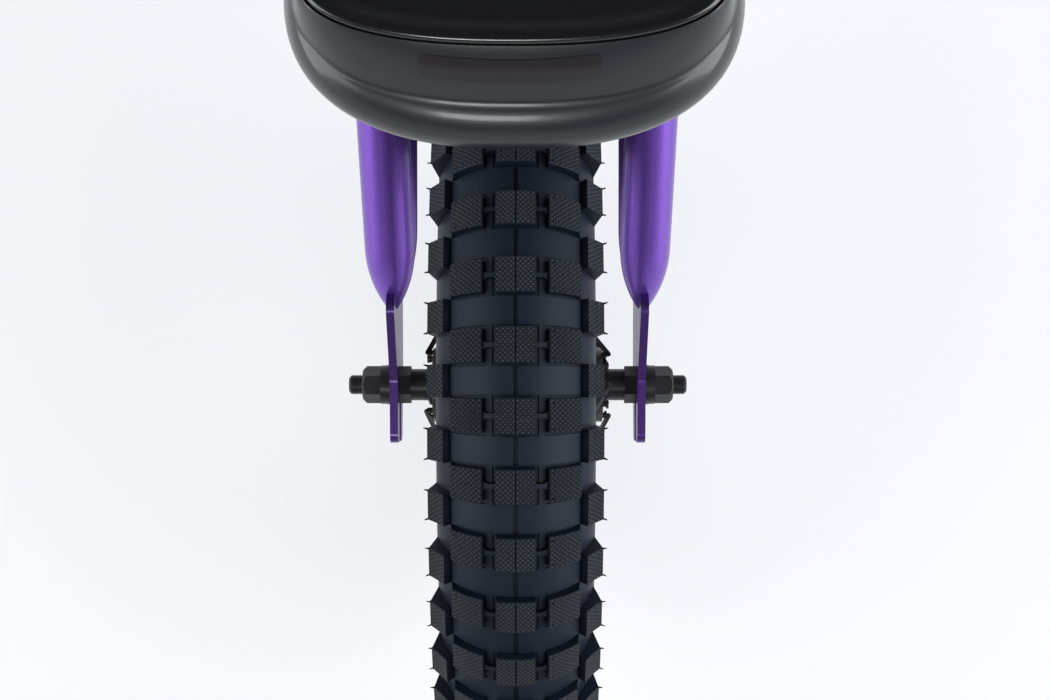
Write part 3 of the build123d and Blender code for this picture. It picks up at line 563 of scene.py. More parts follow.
def bridge(bm: bmesh.types.BMesh, low: Sequence[bmesh.types.BMVert],
           high: Sequence[bmesh.types.BMVert], closed: bool = True) -> None:
    """Join two lines of vertices with quads.

    Args:
        bm: Where the faces go.
        low: One line.
        high: The other, of the same length.
        closed: Whether both lines are rings.
    """
    count = len(low)
    for index in range(count if closed else count - 1):
        following = (index + 1) % count
        bm.faces.new((low[index], low[following], high[following], high[index]))


def loft(bm: bmesh.types.BMesh, rings: Sequence[Sequence[Vector]], caps: bool = True,
         closed: bool = False) -> list[list[bmesh.types.BMVert]]:
    """Join rings of points, each the same length, with quads.

    Args:
        bm: Where the faces go.
        rings: The rings in order.
        caps: Whether the first and last ring get a face.
        closed: Whether the last ring joins the first.

    Returns:
        The vertices, ring by ring.
    """
    made = [[bm.verts.new(point) for point in ring] for ring in rings]
    for low, high in list(zip(made, made[1:])) + ([(made[-1], made[0])] if closed else []):
        bridge(bm, low, high)
    if caps and not closed:
        bm.faces.new(made[0][::-1])
        bm.faces.new(made[-1])
    return made


def turned(profile: Sequence[Pair], centre: Vector, axis: Vector, steps: int = 64) -> bmesh.types.BMesh:
    """Turn a closed outline about an axis.

    Args:
        profile: (radius, height along the axis) points.
        centre: The axis's zero height.
        axis: Its direction.
        steps: How many times the outline is repeated.

    Returns:
        The closed surface as a bmesh.
    """
    turn = axis.to_track_quat("Z", "X").to_matrix()
    rings = []
    for step in range(steps):
        angle = 2 * math.pi * step / steps
        rings.append([centre + turn @ Vector((r * math.cos(angle), r * math.sin(angle), h)) for r, h in profile])
    bm = bmesh.new()
    loft(bm, rings, closed=True)
    bmesh.ops.remove_doubles(bm, verts=bm.verts[:], dist=1e-7)
    return bm


def baked(source: bpy.types.Object) -> bpy.types.Mesh:
    """The mesh that an object's modifiers give; the object itself is removed.

    Args:
        source: An object with its modifiers set.

    Returns:
        A plain mesh.
    """
    bpy.context.view_layer.update()
    graph = bpy.context.evaluated_depsgraph_get()
    mesh = bpy.data.meshes.new_from_object(source.evaluated_get(graph), depsgraph=graph)
    bpy.data.objects.remove(source)
    return mesh


# ------------------------------------------------------------------ geometry nodes

class Tree:
    """A Geometry Nodes tree with named inputs."""

    KINDS = {float: "NodeSocketFloat", int: "NodeSocketInt", Vector: "NodeSocketVector",
             bpy.types.Material: "NodeSocketMaterial", bpy.types.Object: "NodeSocketObject"}

    def __init__(self, name: str, **inputs: type) -> None:
        """Start a tree.

        Args:
            name: The tree's name.
            inputs: The kind of each named input.
        """
        self.tree = bpy.data.node_groups.new(name, "GeometryNodeTree")
        face = self.tree.interface
        face.new_socket("Geometry", in_out="INPUT", socket_type="NodeSocketGeometry")
        for label, kind in inputs.items():
            face.new_socket(label.replace("_", " "), in_out="INPUT", socket_type=self.KINDS[kind])
        face.new_socket("Geometry", in_out="OUTPUT", socket_type="NodeSocketGeometry")
        self.entry = self.tree.nodes.new("NodeGroupInput")
        self.exit = self.tree.nodes.new("NodeGroupOutput")

    def given(self, label: str) -> bpy.types.NodeSocket:
        """The tree's own input of that name."""
        return self.entry.outputs[label]

    def node(self, kind: str, settings: Optional[dict] = None, **inputs: object) -> bpy.types.Node:
        """Add a node.

        Args:
            kind: The node's type.
            settings: Its properties.
            inputs: Values or links by socket name, with _ for a space, or i0, i1 for a number.

        Returns:
            The node.
        """
        made = self.tree.nodes.new(kind)
        for name, value in (settings or {}).items():
            setattr(made, name, value)
        for key, value in inputs.items():
            numbered = key[0] == "i" and key[1:].isdigit()
            socket = made.inputs[int(key[1:])] if numbered else made.inputs[key.replace("_", " ")]
            if isinstance(value, bpy.types.NodeSocket):
                self.tree.links.new(value, socket)
            else:
                socket.default_value = value
        return made

    def math(self, operation: str, first: object, second: object = 0.0) -> bpy.types.NodeSocket:
        """Add a Math node and give its result."""
        return self.node("ShaderNodeMath", {"operation": operation}, i0=first, i1=second).outputs[0]

    def close(self, geometry: bpy.types.NodeSocket) -> None:
        """End the tree with Realize Instances and Set Material."""
        real = self.node("GeometryNodeRealizeInstances", Geometry=geometry)
        dressed = self.node("GeometryNodeSetMaterial", Geometry=real.outputs[0], Material=self.given("Finish"))
        self.tree.links.new(dressed.outputs[0], self.exit.inputs[0])

    def run(self, name: str, mesh: bpy.types.Mesh, finish: Finish, **values: object) -> bpy.types.Object:
        """Run the tree on a mesh and keep the result as a plain object.

        Args:
            name: The new piece's name.
            mesh: The geometry that goes in.
            finish: What the result wears.
            values: The named inputs.

        Returns:
            The piece.
        """
        carrier = bpy.data.objects.new(name + "_seed", mesh)
        bpy.context.scene.collection.objects.link(carrier)
        modifier = carrier.modifiers.new("repeat", "NODES")
        modifier.node_group = self.tree
        values["Finish"] = finish_of(finish)
        sockets = {item.name: item.identifier for item in self.tree.interface.items_tree
                   if item.in_out == "INPUT"}
        for label, value in values.items():
            modifier[sockets[label.replace("_", " ")]] = value
        made = baked(carrier)
        made.name = name
        return add_object(name, made, finish)


def ring_tree() -> Tree:
    """A tree that repeats its geometry round an axle that runs along Y.

    Returns:
        The tree, with inputs Count, Phase and Centre.
    """
    tree = Tree("repeat_round_axle", Count=int, Phase=float, Centre=Vector, Finish=bpy.types.Material)
    points = tree.node("GeometryNodePoints", Count=tree.given("Count"), Position=tree.given("Centre"))
    index = tree.node("GeometryNodeInputIndex").outputs[0]
    share = tree.math("DIVIDE", index, tree.given("Count"))
    angle = tree.math("ADD", tree.math("MULTIPLY", share, 2 * math.pi), tree.given("Phase"))
    turn = tree.node("ShaderNodeCombineXYZ", Y=angle)
    placed = tree.node("GeometryNodeInstanceOnPoints", Points=points.outputs[0],
                       Instance=tree.given("Geometry"), Rotation=turn.outputs[0])
    tree.close(placed.outputs[0])
    return tree


def bead_tree() -> Tree:
    """A tree that lays overlapping beads along the wire that goes in, as a weld or a cord seam.

    Returns:
        The tree, with inputs Spacing, Length, Width and Height.
    """
    tree = Tree("beads_along_wire", Spacing=float, Length=float, Width=float, Height=float,
                Finish=bpy.types.Material)
    curve = tree.node("GeometryNodeMeshToCurve", Mesh=tree.given("Geometry"))
    points = tree.node("GeometryNodeCurveToPoints", {"mode": "LENGTH"},
                       Curve=curve.outputs[0], Length=tree.given("Spacing"))
    aim = tree.node("FunctionNodeAlignRotationToVector", {"axis": "X"}, Vector=points.outputs["Tangent"])
    bead = tree.node("GeometryNodeMeshUVSphere", Segments=10, Rings=6, Radius=0.5)
    size = tree.node("ShaderNodeCombineXYZ", X=tree.given("Length"), Y=tree.given("Width"), Z=tree.given("Height"))
    jitter = tree.node("FunctionNodeRandomValue", {"data_type": "FLOAT"}, i2=0.9, i3=1.1, Seed=7)
    scaled = tree.node("ShaderNodeVectorMath", {"operation": "SCALE"}, i0=size.outputs[0],
                       Scale=jitter.outputs[1])
    placed = tree.node("GeometryNodeInstanceOnPoints", Points=points.outputs[0], Instance=bead.outputs[0],
                       Rotation=aim.outputs[0], Scale=scaled.outputs[0])
    tree.close(placed.outputs[0])
    return tree


# ------------------------------------------------------------------ tyre

@dataclass
class Tyre:
    """A knobby tyre: casing with raised panels, block rows, shoulder knobs and vent hairs."""

    name: str
    body: str
    centre: Vector
    outer: float
    phase: float = 0.0
    rows: int = 47
    casing: float = 25.5 * MM
    depth: float = 3.0 * MM
    wall: float = 3.0 * MM
    bead_radius: float = 101.6 * MM
    bead_half: float = 12.4 * MM
    hook_top: float = 108.0 * MM
    block_half_length: float = 5.75 * MM
    centre_half: float = 5.95 * MM
    side_inner: float = 10.4 * MM
    side_outer: float = 20.1 * MM
    shoulder_half: float = 27.6 * MM
    foot: float = 0.5 * MM  # how far a block's base lies inside the casing
    panel_height: float = 0.5 * MM
    panel_edge: float = 0.12 * MM
    panel_gap: float = 0.55 * MM  # along the tread, between a block and the panel behind it
    rib_drop: float = 1.1 * MM  # from the blocks' tops to the ribs'
    draft: float = 0.35 * MM
    knob_inner: Pair = (17.6 * MM, 22.5 * MM)  # a knob's inner top edge: out from the section's middle, and y
    knob_outer: float = 11.6 * MM
    knob_feet: Pair = (53.0, 86.0)  # degrees round the section
    sidewall_from: int = 86  # degrees round the section, where the fine steps start
    sidewall_step: float = 0.25 * MM
    mould_line: Pair = (0.9 * MM, 0.45 * MM)  # half-width and depth

    @property
    def middle(self) -> float:
        """Radius of the circle that the casing's section is drawn about."""
        return self.outer - self.depth - self.casing

    @property
    def pitch(self) -> float:
        """Angle from one row to the next."""
        return 2 * math.pi / self.rows

    def on_section(self, y: float, height: float) -> Pair:
        """A point of the section above the casing's circle.

        Args:
            y: Distance from the tyre's middle plane.
            height: Height above the casing.

        Returns:
            (distance from the axle, y)
        """
        radius = self.casing + height
        return self.middle + math.sqrt(max(radius**2 - y**2, 0.0)), y

    def at(self, radius: float, y: float, arc: float) -> Vector:
        """A point near the top of the wheel.

        Args:
            radius: Distance from the axle.
            y: Distance from the middle plane.
            arc: Distance along the tread from the top.

        Returns:
            The point, about the wheel's own centre.
        """
        angle = arc / self.outer
        return Vector((radius * math.sin(angle), y, radius * math.cos(angle)))

    def casing_mesh(self) -> bpy.types.Mesh:
        """The carcass with its bead, mould line and sidewall steps, turned about the axle."""
        outline = []
        for degrees in range(-118, 119, 3):
            turn = math.radians(degrees)
            height = 0.0
            if abs(degrees) > self.sidewall_from and (abs(degrees) // 6) % 2:
                height = self.sidewall_step
            radius = self.casing + height
            y = radius * math.sin(turn)
            if abs(y) < self.mould_line[0]:
                radius -= self.mould_line[1]
            outline.append((self.middle + radius * math.cos(turn), y))
        outline += [(self.hook_top, self.bead_half), (self.bead_radius, self.bead_half),
                    (self.bead_radius, self.bead_half - 3.5 * MM),
                    (self.hook_top - 3 * MM, self.bead_half - 3.5 * MM)]
        inner = self.casing - self.wall
        for degrees in range(112, -113, -16):
            turn = math.radians(degrees)
            outline.append((self.middle + inner * math.cos(turn), inner * math.sin(turn)))
        outline += [(self.hook_top - 3 * MM, 3.5 * MM - self.bead_half),
                    (self.bead_radius, 3.5 * MM - self.bead_half),
                    (self.bead_radius, -self.bead_half), (self.hook_top, -self.bead_half)]
        bm = turned(outline, self.centre, Vector((0, 1, 0)), self.rows * 4)
        mesh = to_mesh(self.name + "_casing", bm, 40)
        far = mesh.uv_layers.new(name="map")
        for corner in far.data:
            corner.uv = OFF_MAP
        return mesh

    def prism(self, bm: bmesh.types.BMesh, base: Sequence[Pair], top: Sequence[Pair],
              arcs: Pair, edge: float = 0.28 * MM, shift: Pair = (0.0, 0.0)) -> None:
        """A tread block: a base outline and a top line swept along the tread, with softened edges.

        Args:
            bm: Where it goes.
            base: The two buried (radius, y) points, first and last of the section.
            top: The (radius, y) points of its running surface between them.
            arcs: Where it starts and ends along the tread.
            edge: How much its top edges are rounded.
            shift: Where the block's own map has its zero, across and along.
        """
        mapping = bm.loops.layers.uv.verify()
        lowered = [(r - edge, y) for r, y in top]
        start, end = arcs
        stations = [(start, lowered), (start + edge, top), ((start + end) / 2, top), (end - edge, top),
                    (end, lowered)]
        first, last = top[0], top[-1]
        rings = []
        for arc, line in stations:
            trimmed = [(line[0][0] - edge, first[1]), *line, (line[-1][0] - edge, last[1])]
            pulled = [trimmed[0]]
            for r, y in line:
                inset = edge if y == line[0][1] else (-edge if y == line[-1][1] else 0.0)
                pulled.append((r, y + math.copysign(inset, last[1] - first[1])))
            pulled.append(trimmed[-1])
            section = [base[0], *pulled, base[1]]
            rings.append([self.at(r, y, arc) for r, y in section])
        made = loft(bm, rings)
        count = len(rings[0])
        tops = {vert for ring in made[1:-1] for vert in ring[2:count - 2]}
        bm.faces.ensure_lookup_table()
        for face in {face for vert in tops for face in vert.link_faces}:
            on_top = all(vert in tops for vert in face.verts)
            for corner in face.loops:
                spot = corner.vert.co
                along = math.atan2(spot.x, spot.z) * self.outer
                flat = ((spot.y - shift[0]) / MM + 0.01, (along - shift[1]) / MM)
                corner[mapping].uv = flat if on_top else OFF_MAP

    def row_mesh(self) -> bpy.types.Mesh:
        """One row of blocks, ribs, panels and shoulder knobs at the top of the wheel."""
        bm = bmesh.new()
        bm.loops.layers.uv.verify()
        half = self.block_half_length
        pitch = self.pitch * self.outer
        for side in (LEFT, RIGHT):
            self._block(bm, side * 0.12 * MM, side * self.centre_half, -half, half, self.depth)
            self._block(bm, side * self.side_inner, side * self.side_outer, -half + 0.3 * MM, half - 0.3 * MM,
                        self.depth)
            self._rib(bm, side)
            self._strips(bm, side, half)
            self._panel(bm, side, half + self.panel_gap, pitch - half - self.panel_gap)
            self._knob(bm, side, pitch / 2)
        return to_mesh(self.name + "_row", bm, 30)

    def _line(self, y0: float, y1: float, height: float, steps: int = 4) -> list[Pair]:
        """Points of the section at a height above the casing, from one y to another."""
        return [self.on_section(y0 + (y1 - y0) * step / steps, height) for step in range(steps + 1)]

    def _block(self, bm: bmesh.types.BMesh, y0: float, y1: float, a0: float, a1: float, height: float) -> None:
        """A block of the centre or side row."""
        inner, outer = (y0, y1) if abs(y0) <= abs(y1) else (y1, y0)
        spread = math.copysign(self.draft, outer - inner)
        base = [self.on_section(inner - spread, -self.foot), self.on_section(outer + spread, -self.foot)]
        self.prism(bm, base, self._line(inner, outer, height), (a0, a1), shift=((y0 + y1) / 2, 0.0))

    def _rib(self, bm: bmesh.types.BMesh, side: int) -> None:
        """The thin tie between the centre block and a side block, flared where it meets the side block."""
        height = self.depth - self.rib_drop
        stations = [(self.centre_half - 0.3 * MM, 1.2 * MM), (self.centre_half + 0.8 * MM, 0.72 * MM),
                    (self.side_inner - 1.5 * MM, 0.72 * MM), (self.side_inner - 0.6 * MM, 1.25 * MM),
                    (self.side_inner + 0.2 * MM, 2.4 * MM)]
        rings = []
        for y, half in stations:
            low, high = self.on_section(side * y, -0.3 * MM)[0], self.on_section(side * y, height)[0]
            rings.append([self.at(low, side * y, -half), self.at(high, side * y, -half),
                          self.at(high, side * y, half), self.at(low, side * y, half)])
        loft(bm, rings)
        self._plain(bm)

    def _plain(self, bm: bmesh.types.BMesh) -> None:
        """Give every corner that has no place on the map one far outside it."""
        mapping = bm.loops.layers.uv.verify()
        for face in bm.faces:
            for corner in face.loops:
                if corner[mapping].uv.length == 0.0:
                    corner[mapping].uv = OFF_MAP

    def _strips(self, bm: bmesh.types.BMesh, side: int, half: float) -> None:
        """Thin raised strips in the channels beside the centre block, which join the panels."""
        y0, y1 = side * (self.centre_half + 1.15 * MM), side * (self.centre_half + 3.2 * MM)
        base = [self.on_section(y0, -0.3 * MM), self.on_section(y1, -0.3 * MM)]
        top = self._line(y0, y1, self.panel_height, 1)
        self.prism(bm, base, top, (-half - 0.8 * MM, half + 0.8 * MM), self.panel_edge)
        self._unmap(bm)

    def _panel(self, bm: bmesh.types.BMesh, side: int, a0: float, a1: float) -> None:
        """The smooth raised panel between two rows, from the mould line to the side blocks' edge."""
        y0, y1 = side * 0.85 * MM, side * (self.side_outer + 0.1 * MM)
        base = [self.on_section(y0, -0.3 * MM), self.on_section(y1, -0.3 * MM)]
        self.prism(bm, base, self._line(y0, y1, self.panel_height, 7), (a0, a1), self.panel_edge)
        self._unmap(bm)

    def _unmap(self, bm: bmesh.types.BMesh) -> None:
        """Take the faces of the last low piece off the knurl's map."""
        mapping = bm.loops.layers.uv.verify()
        for face in bm.faces:
            spots = [math.hypot(math.hypot(vert.co.x, vert.co.z) - self.middle, vert.co.y) for vert in face.verts]
            if max(spots) < self.casing + 1.2 * MM:
                for corner in face.loops:
                    corner[mapping].uv = OFF_MAP

    def _knob(self, bm: bmesh.types.BMesh, side: int, arc: float) -> None:
        """A shoulder knob with a hair at each outer corner."""
        half = self.block_half_length - 0.15 * MM
        inner_top = (self.middle + self.knob_inner[0], side * self.knob_inner[1])
        outer_top = (self.middle + self.knob_outer, side * self.shoulder_half)
        between = [(inner_top[0] + (outer_top[0] - inner_top[0]) * share,
                    inner_top[1] + (outer_top[1] - inner_top[1]) * share) for share in (0, 0.5, 1)]
        buried = self.casing - self.foot
        base = [(self.middle + buried * math.cos(turn), side * buried * math.sin(turn))
                for turn in map(math.radians, self.knob_feet)]
        self.prism(bm, base, between, (arc - half, arc + half), shift=(side * 40 * MM, arc))
        tip = Vector((0, side * 1.7 * MM, 0.3 * MM))
        for end in (-1, 1):
            root = self.at(outer_top[0] - 0.2 * MM, outer_top[1] - side * 0.3 * MM, arc + end * (half - 0.5 * MM))
            lean = tip + Vector((end * 0.5 * MM, 0, 0))
            self._hair(bm, root, root + lean)

    def _hair(self, bm: bmesh.types.BMesh, root: Vector, tip: Vector) -> None:
        """A vent hair: a thin cone with a blunt end."""
        aim = (tip - root).to_track_quat("Z", "X").to_matrix()
        rings = [[spot + aim @ Vector((radius * math.cos(turn), radius * math.sin(turn), 0))
                  for turn in (0, math.pi / 2, math.pi, 3 * math.pi / 2)]
                 for spot, radius in ((root, 0.42 * MM), (root.lerp(tip, 0.55), 0.3 * MM), (tip, 0.16 * MM))]
        loft(bm, rings)
        self._plain(bm)

    def build(self) -> list[bpy.types.Object]:
        """Make the casing and the tread.

        Returns:
            The two pieces.
        """
        casing = add_object(self.name + "_casing", self.casing_mesh(), Finish.TREAD)
        seed = self.row_mesh()
        tread = ring_tree().run(self.name + "_tread", seed, Finish.TREAD,
                                Count=self.rows, Phase=self.phase, Centre=self.centre)
        rounded(tread.data, 30)
        for piece in (casing, tread):
            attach(piece, self.body)
            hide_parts(self.name)
        log.info("%s: %d rows, %d faces in the tread", self.name, self.rows, len(tread.data.polygons))
        return [casing, tread]


# ------------------------------------------------------------------ saddle

@dataclass(frozen=True)
class SaddleRing:
    """One level line of the saddle.

    The tail is half a superellipse; behind its middle the line follows the saddle's flank to the nose.
    """

    setback: float  # from the saddle's tail to this line's tail
    side_inset: float  # from the saddle's flank
    tail_height: float
    side_height: float
    front_height: float


@dataclass
class Saddle:
    """Moulded saddle: lip and rear bumper, dished glossy seat, plain patch and plastic shell."""

    low: Vector
    high: Vector
    tail_depth: float = 42.5 * MM
    power: float = 2.4
    nose_radius: float = 23.5 * MM
    count: int = 192
    inset: float = 0.5 * MM
    patch_half: Pair = (24.0 * MM, 2.6 * MM)
    patch_centre: Pair = (18.4 * MM, 1.0 * MM)
    patch_corner: float = 1.4 * MM
    flank_length: float = 138 * MM  # from the widest place to the nose's full narrowness
    front_from: float = 120 * MM  # from the tail, where the front's own heights hold

    @property
    def half_width(self) -> float:
        """Half of the saddle's greatest width."""
        return (self.high.y - self.low.y) / 2 - self.inset / 2

    def flank(self, x: float) -> float:
        """Half-width of the outline at a place along the saddle.

        Args:
            x: The place.

        Returns:
            The half-width.
        """
        widest = self.low.x + self.tail_depth
        share = min(max((x - widest) / self.flank_length, 0.0), 1.0)
        smooth = share * share * (3 - 2 * share)
        return self.half_width + (self.nose_radius - self.half_width) * smooth

    def ring(self, line: SaddleRing) -> list[Vector]:
        """Points of one level line, from the tail round the left side to the nose and back.

        Args:
            line: Which line.

        Returns:
            The points, the same number for every line.
        """
        widest = self.low.x + self.tail_depth
        depth = self.tail_depth - line.setback
        nose = self.high.x - self.nose_radius
        nose_reach = self.nose_radius - line.side_inset
        width = self.half_width - line.side_inset
        quarter, side, tip = self.count // 6, self.count // 4, self.count // 12
        half: list[Vector] = []
        for step in range(quarter):
            turn = math.pi / 2 * step / quarter
            half.append(Vector((widest - depth * math.cos(turn) ** (2 / self.power),
                                width * math.sin(turn) ** (2 / self.power), 0)))
        for step in range(side):
            x = widest + (nose - widest) * step / side
            half.append(Vector((x, self.flank(x) - line.side_inset, 0)))
        for step in range(tip + 1):
            turn = math.pi / 2 * step / tip
            half.append(Vector((nose + nose_reach * math.sin(turn), nose_reach * math.cos(turn), 0)))
        for spot in half:
            spot.z = self.height(line, spot.x)
        mirrored = [Vector((spot.x, -spot.y, spot.z)) for spot in half[-2:0:-1]]
        return half + mirrored

    def height(self, line: SaddleRing, x: float) -> float:
        """Height of a level line at a place along the saddle."""
        start, widest, end = self.low.x, self.low.x + self.tail_depth, self.low.x + self.front_from
        at_tail = min(max((x - start) / (widest - start), 0.0), 1.0)
        at_front = min(max((x - widest) / (end - widest), 0.0), 1.0)
        rear = line.tail_height + (line.side_height - line.tail_height) * at_tail**1.5
        smooth = at_front * at_front * (3 - 2 * at_front)
        return rear + (line.front_height - rear) * smooth

    def lines(self) -> list[SaddleRing]:
        """Level lines of the upper body, from the lip's lower edge up and over into the dish."""
        rows = [  # setback, side inset, then heights at the tail, the sides and the front, in mm
            (1.2, 1.2, 374.6, 374.6, 377.4), (0.3, 0.3, 376.0, 376.0, 378.6), (0.0, 0.0, 378.0, 377.6, 380.4),
            (0.5, 0.2, 380.2, 379.6, 382.6), (2.0, 0.8, 382.8, 381.8, 385.0), (4.4, 1.5, 385.0, 384.0, 387.4),
            (7.2, 2.3, 386.5, 386.0, 389.6), (9.4, 3.0, 387.1, 387.2, 391.0), (10.8, 3.4, 387.2, 387.9, 391.9),
            (12.0, 3.7, 388.2, 388.9, 392.8), (13.6, 4.0, 390.2, 390.5, 393.6), (16.0, 4.4, 392.6, 392.4, 394.4),
            (18.8, 4.8, 395.4, 394.6, 395.4), (21.6, 5.3, 397.8, 396.6, 396.3), (23.4, 5.8, 399.0, 398.0, 397.0),
            (24.3, 6.4, 399.3, 398.8, 397.6)]
        return [SaddleRing(*(value * MM for value in row)) for row in rows]

    def seat_lines(self) -> list[SaddleRing]:
        """Level lines of the glossy seat, from its buried edge over the rim and down into the dish."""
        rows = [
            (23.8, 6.2, 397.0, 396.0, 395.0), (24.6, 6.9, 398.4, 397.6, 396.4), (24.9, 7.1, 399.6, 398.9, 397.4),
            (25.6, 7.6, 400.2, 399.8, 398.4), (26.7, 8.6, 400.0, 400.2, 399.4), (28.2, 10.0, 399.0, 400.0, 400.2),
            (30.0, 12.0, 397.6, 399.2, 400.9), (32.2, 14.6, 396.2, 398.2, 401.6), (34.4, 17.0, 395.2, 397.3, 402.1)]
        return [SaddleRing(*(value * MM for value in row)) for row in rows]

    def close_to_spine(self, bm: bmesh.types.BMesh, ring: Sequence[bmesh.types.BMVert], rise: float,
                       steps: int = 10) -> None:
        """Fill a ring with a surface that falls or rises gently to the saddle's middle line.

        Args:
            bm: Where the faces go.
            ring: The ring's vertices.
            rise: Change of height at the middle line, at the front; the rear sinks by 1.8 mm.
            steps: How many rings the surface has.
        """
        spine_low, spine_high = self.low.x + 48 * MM, self.high.x - self.nose_radius
        previous = list(ring)
        for step in range(1, steps + 1):
            share = step / steps
            current = []
            for vert in ring:
                spot = vert.co
                middle = Vector((min(max(spot.x, spine_low), spine_high), 0.0, 0.0))
                moved = spot.lerp(middle, share)
                front = min(max((spot.x - self.low.x) / (150 * MM), 0.0), 1.0)
                swell = math.sin(share * math.pi / 2)
                moved.z = spot.z + (rise * front - 1.8 * MM * (1 - front)) * swell
                current.append(bm.verts.new(moved))
            bridge(bm, previous, current)
            previous = current
        bmesh.ops.remove_doubles(bm, verts=previous, dist=0.02 * MM)

    def bumper(self) -> bpy.types.Object:
        """The satin body: lip, rear face and flanks, closed by a floor a little inside."""
        bm = bmesh.new()
        rings = [self.ring(line) for line in self.lines()]
        made = loft(bm, rings, caps=False)
        inner = SaddleRing(26.0 * MM, 8.5 * MM, 396 * MM, 395 * MM, 394 * MM)
        deep = SaddleRing(26.0 * MM, 8.5 * MM, 376 * MM, 376 * MM, 379 * MM)
        sill = SaddleRing(4.0 * MM, 4.0 * MM, 374.4 * MM, 374.4 * MM, 377.2 * MM)
        wall = loft(bm, [self.ring(line) for line in (inner, deep, sill)], caps=False)
        bridge(bm, made[-1], wall[0])
        bridge(bm, wall[-1], made[0])
        return add_object("saddle_bumper", to_mesh("saddle_bumper", bm, 60), Finish.BUMPER)

    def seat(self) -> bpy.types.Object:
        """The glossy padded seat that sits inside the bumper's rim."""
        bm = bmesh.new()
        rings = [self.ring(line) for line in self.seat_lines()]
        made = loft(bm, rings, caps=False)
        self.close_to_spine(bm, made[-1], 0.6 * MM)
        floor = SaddleRing(26.4 * MM, 9.0 * MM, 379.5 * MM, 379.5 * MM, 381 * MM)
        under = loft(bm, [self.ring(floor)], caps=False)[0]
        bridge(bm, under, made[0])
        bm.faces.new(under[::-1])
        return add_object("saddle_seat", to_mesh("saddle_seat", bm, 70), Finish.SEAT)

    def shell(self) -> bpy.types.Object:
        """The plastic base below the lip, hollow from below."""
        outside = [(3.0, 3.0, 363.2), (2.2, 2.2, 364.4), (1.6, 1.6, 371.0), (2.0, 2.0, 374.3)]
        inside = [(6.0, 5.6, 371.5), (5.2, 5.2, 364.6), (4.6, 4.6, 363.2)]
        bm = bmesh.new()
        outer, inner = (
            loft(bm, [self.ring(SaddleRing(*(value * MM for value in (back, side, rise, rise, rise))))
                      for back, side, rise in rows], caps=False)
            for rows in (outside, inside))
        bm.faces.new(outer[-1])
        bm.faces.new(inner[0])
        bridge(bm, inner[-1], outer[0])
        return add_object("saddle_shell", to_mesh("saddle_shell", bm, 35), Finish.BUMPER)

    def surface_height(self, x: float, y: float) -> float:
        """Height of the bumper's rear face at a place, found between two of its level lines."""
        depth_at = []
        for line in self.lines():
            width = self.half_width - line.side_inset
            drop = (1 - (abs(y) / width) ** self.power) ** (1 / self.power)
            depth = self.tail_depth - line.setback
            depth_at.append((self.low.x + self.tail_depth - depth * drop, line))
        for (x0, line0), (x1, line1) in zip(depth_at, depth_at[1:]):
            if x0 <= x <= x1 and x1 > x0:
                share = (x - x0) / (x1 - x0)
                return self.height(line0, x) * (1 - share) + self.height(line1, x) * share
        return self.height(self.lines()[-1], x)

    def patch(self) -> bpy.types.Object:
        """The blank rounded patch on the rear face."""
        (half_long, half_tall), corner = self.patch_half, self.patch_corner
        middle = self.low.x + self.patch_centre[0]
        bm = bmesh.new()
        across, up = 48, 8
        levels = []
        for lift in (-0.6 * MM, 0.28 * MM):
            grid = []
            for row in range(up + 1):
                v = (row / up * 2 - 1) * half_tall
                short = max(abs(v) - (half_tall - corner), 0.0)
                reach = half_long - corner + math.sqrt(corner**2 - short**2)
                line = []
                for column in range(across + 1):
                    y = (column / across * 2 - 1) * reach
                    x = middle + v + 1.6 * MM * (y / half_long) ** 2
                    y += self.patch_centre[1]
                    line.append(bm.verts.new((x, y, self.surface_height(x, y) + lift)))
                grid.append(line)
            levels.append(grid)
        bottom, top = levels
        lines = [pair for level in levels for pair in zip(level, level[1:])]
        lines += [(bottom[0], top[0]), (bottom[-1], top[-1]),
                  ([row[0] for row in bottom], [row[0] for row in top]),
                  ([row[-1] for row in bottom], [row[-1] for row in top])]
        for low, high in lines:
            bridge(bm, low, high, closed=False)
        return add_object("saddle_patch", to_mesh("saddle_patch", bm, 40), Finish.LABEL)

    def build(self) -> list[bpy.types.Object]:
        """Make the saddle's pieces.

        Returns:
            The pieces, all riding on the saddle.
        """
        pieces = bumper, seat, shell, patch = [self.bumper(), self.seat(), self.shell(), self.patch()]
        for piece in pieces:
            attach(piece, "saddle")
        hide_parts("saddle_base")
        for piece in (bumper, seat, patch):
            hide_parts("saddle_pad")
        log.info("saddle: %d pieces", len(pieces))
        return pieces


# ------------------------------------------------------------------ grips, welds, threads

def line_tree() -> Tree:
    """A tree that repeats its geometry at even steps along a line.

    Returns:
        The tree, with inputs Count, Start and Step.
    """
    tree = Tree("repeat_along_line", Count=int, Start=Vector, Step=Vector, Finish=bpy.types.Material)
    line = tree.node("GeometryNodeMeshLine", Count=tree.given("Count"), Start_Location=tree.given("Start"),
                     Offset=tree.given("Step"))
    placed = tree.node("GeometryNodeInstanceOnPoints", Points=line.outputs[0], Instance=tree.given("Geometry"))
    tree.close(placed.outputs[0])
    return tree


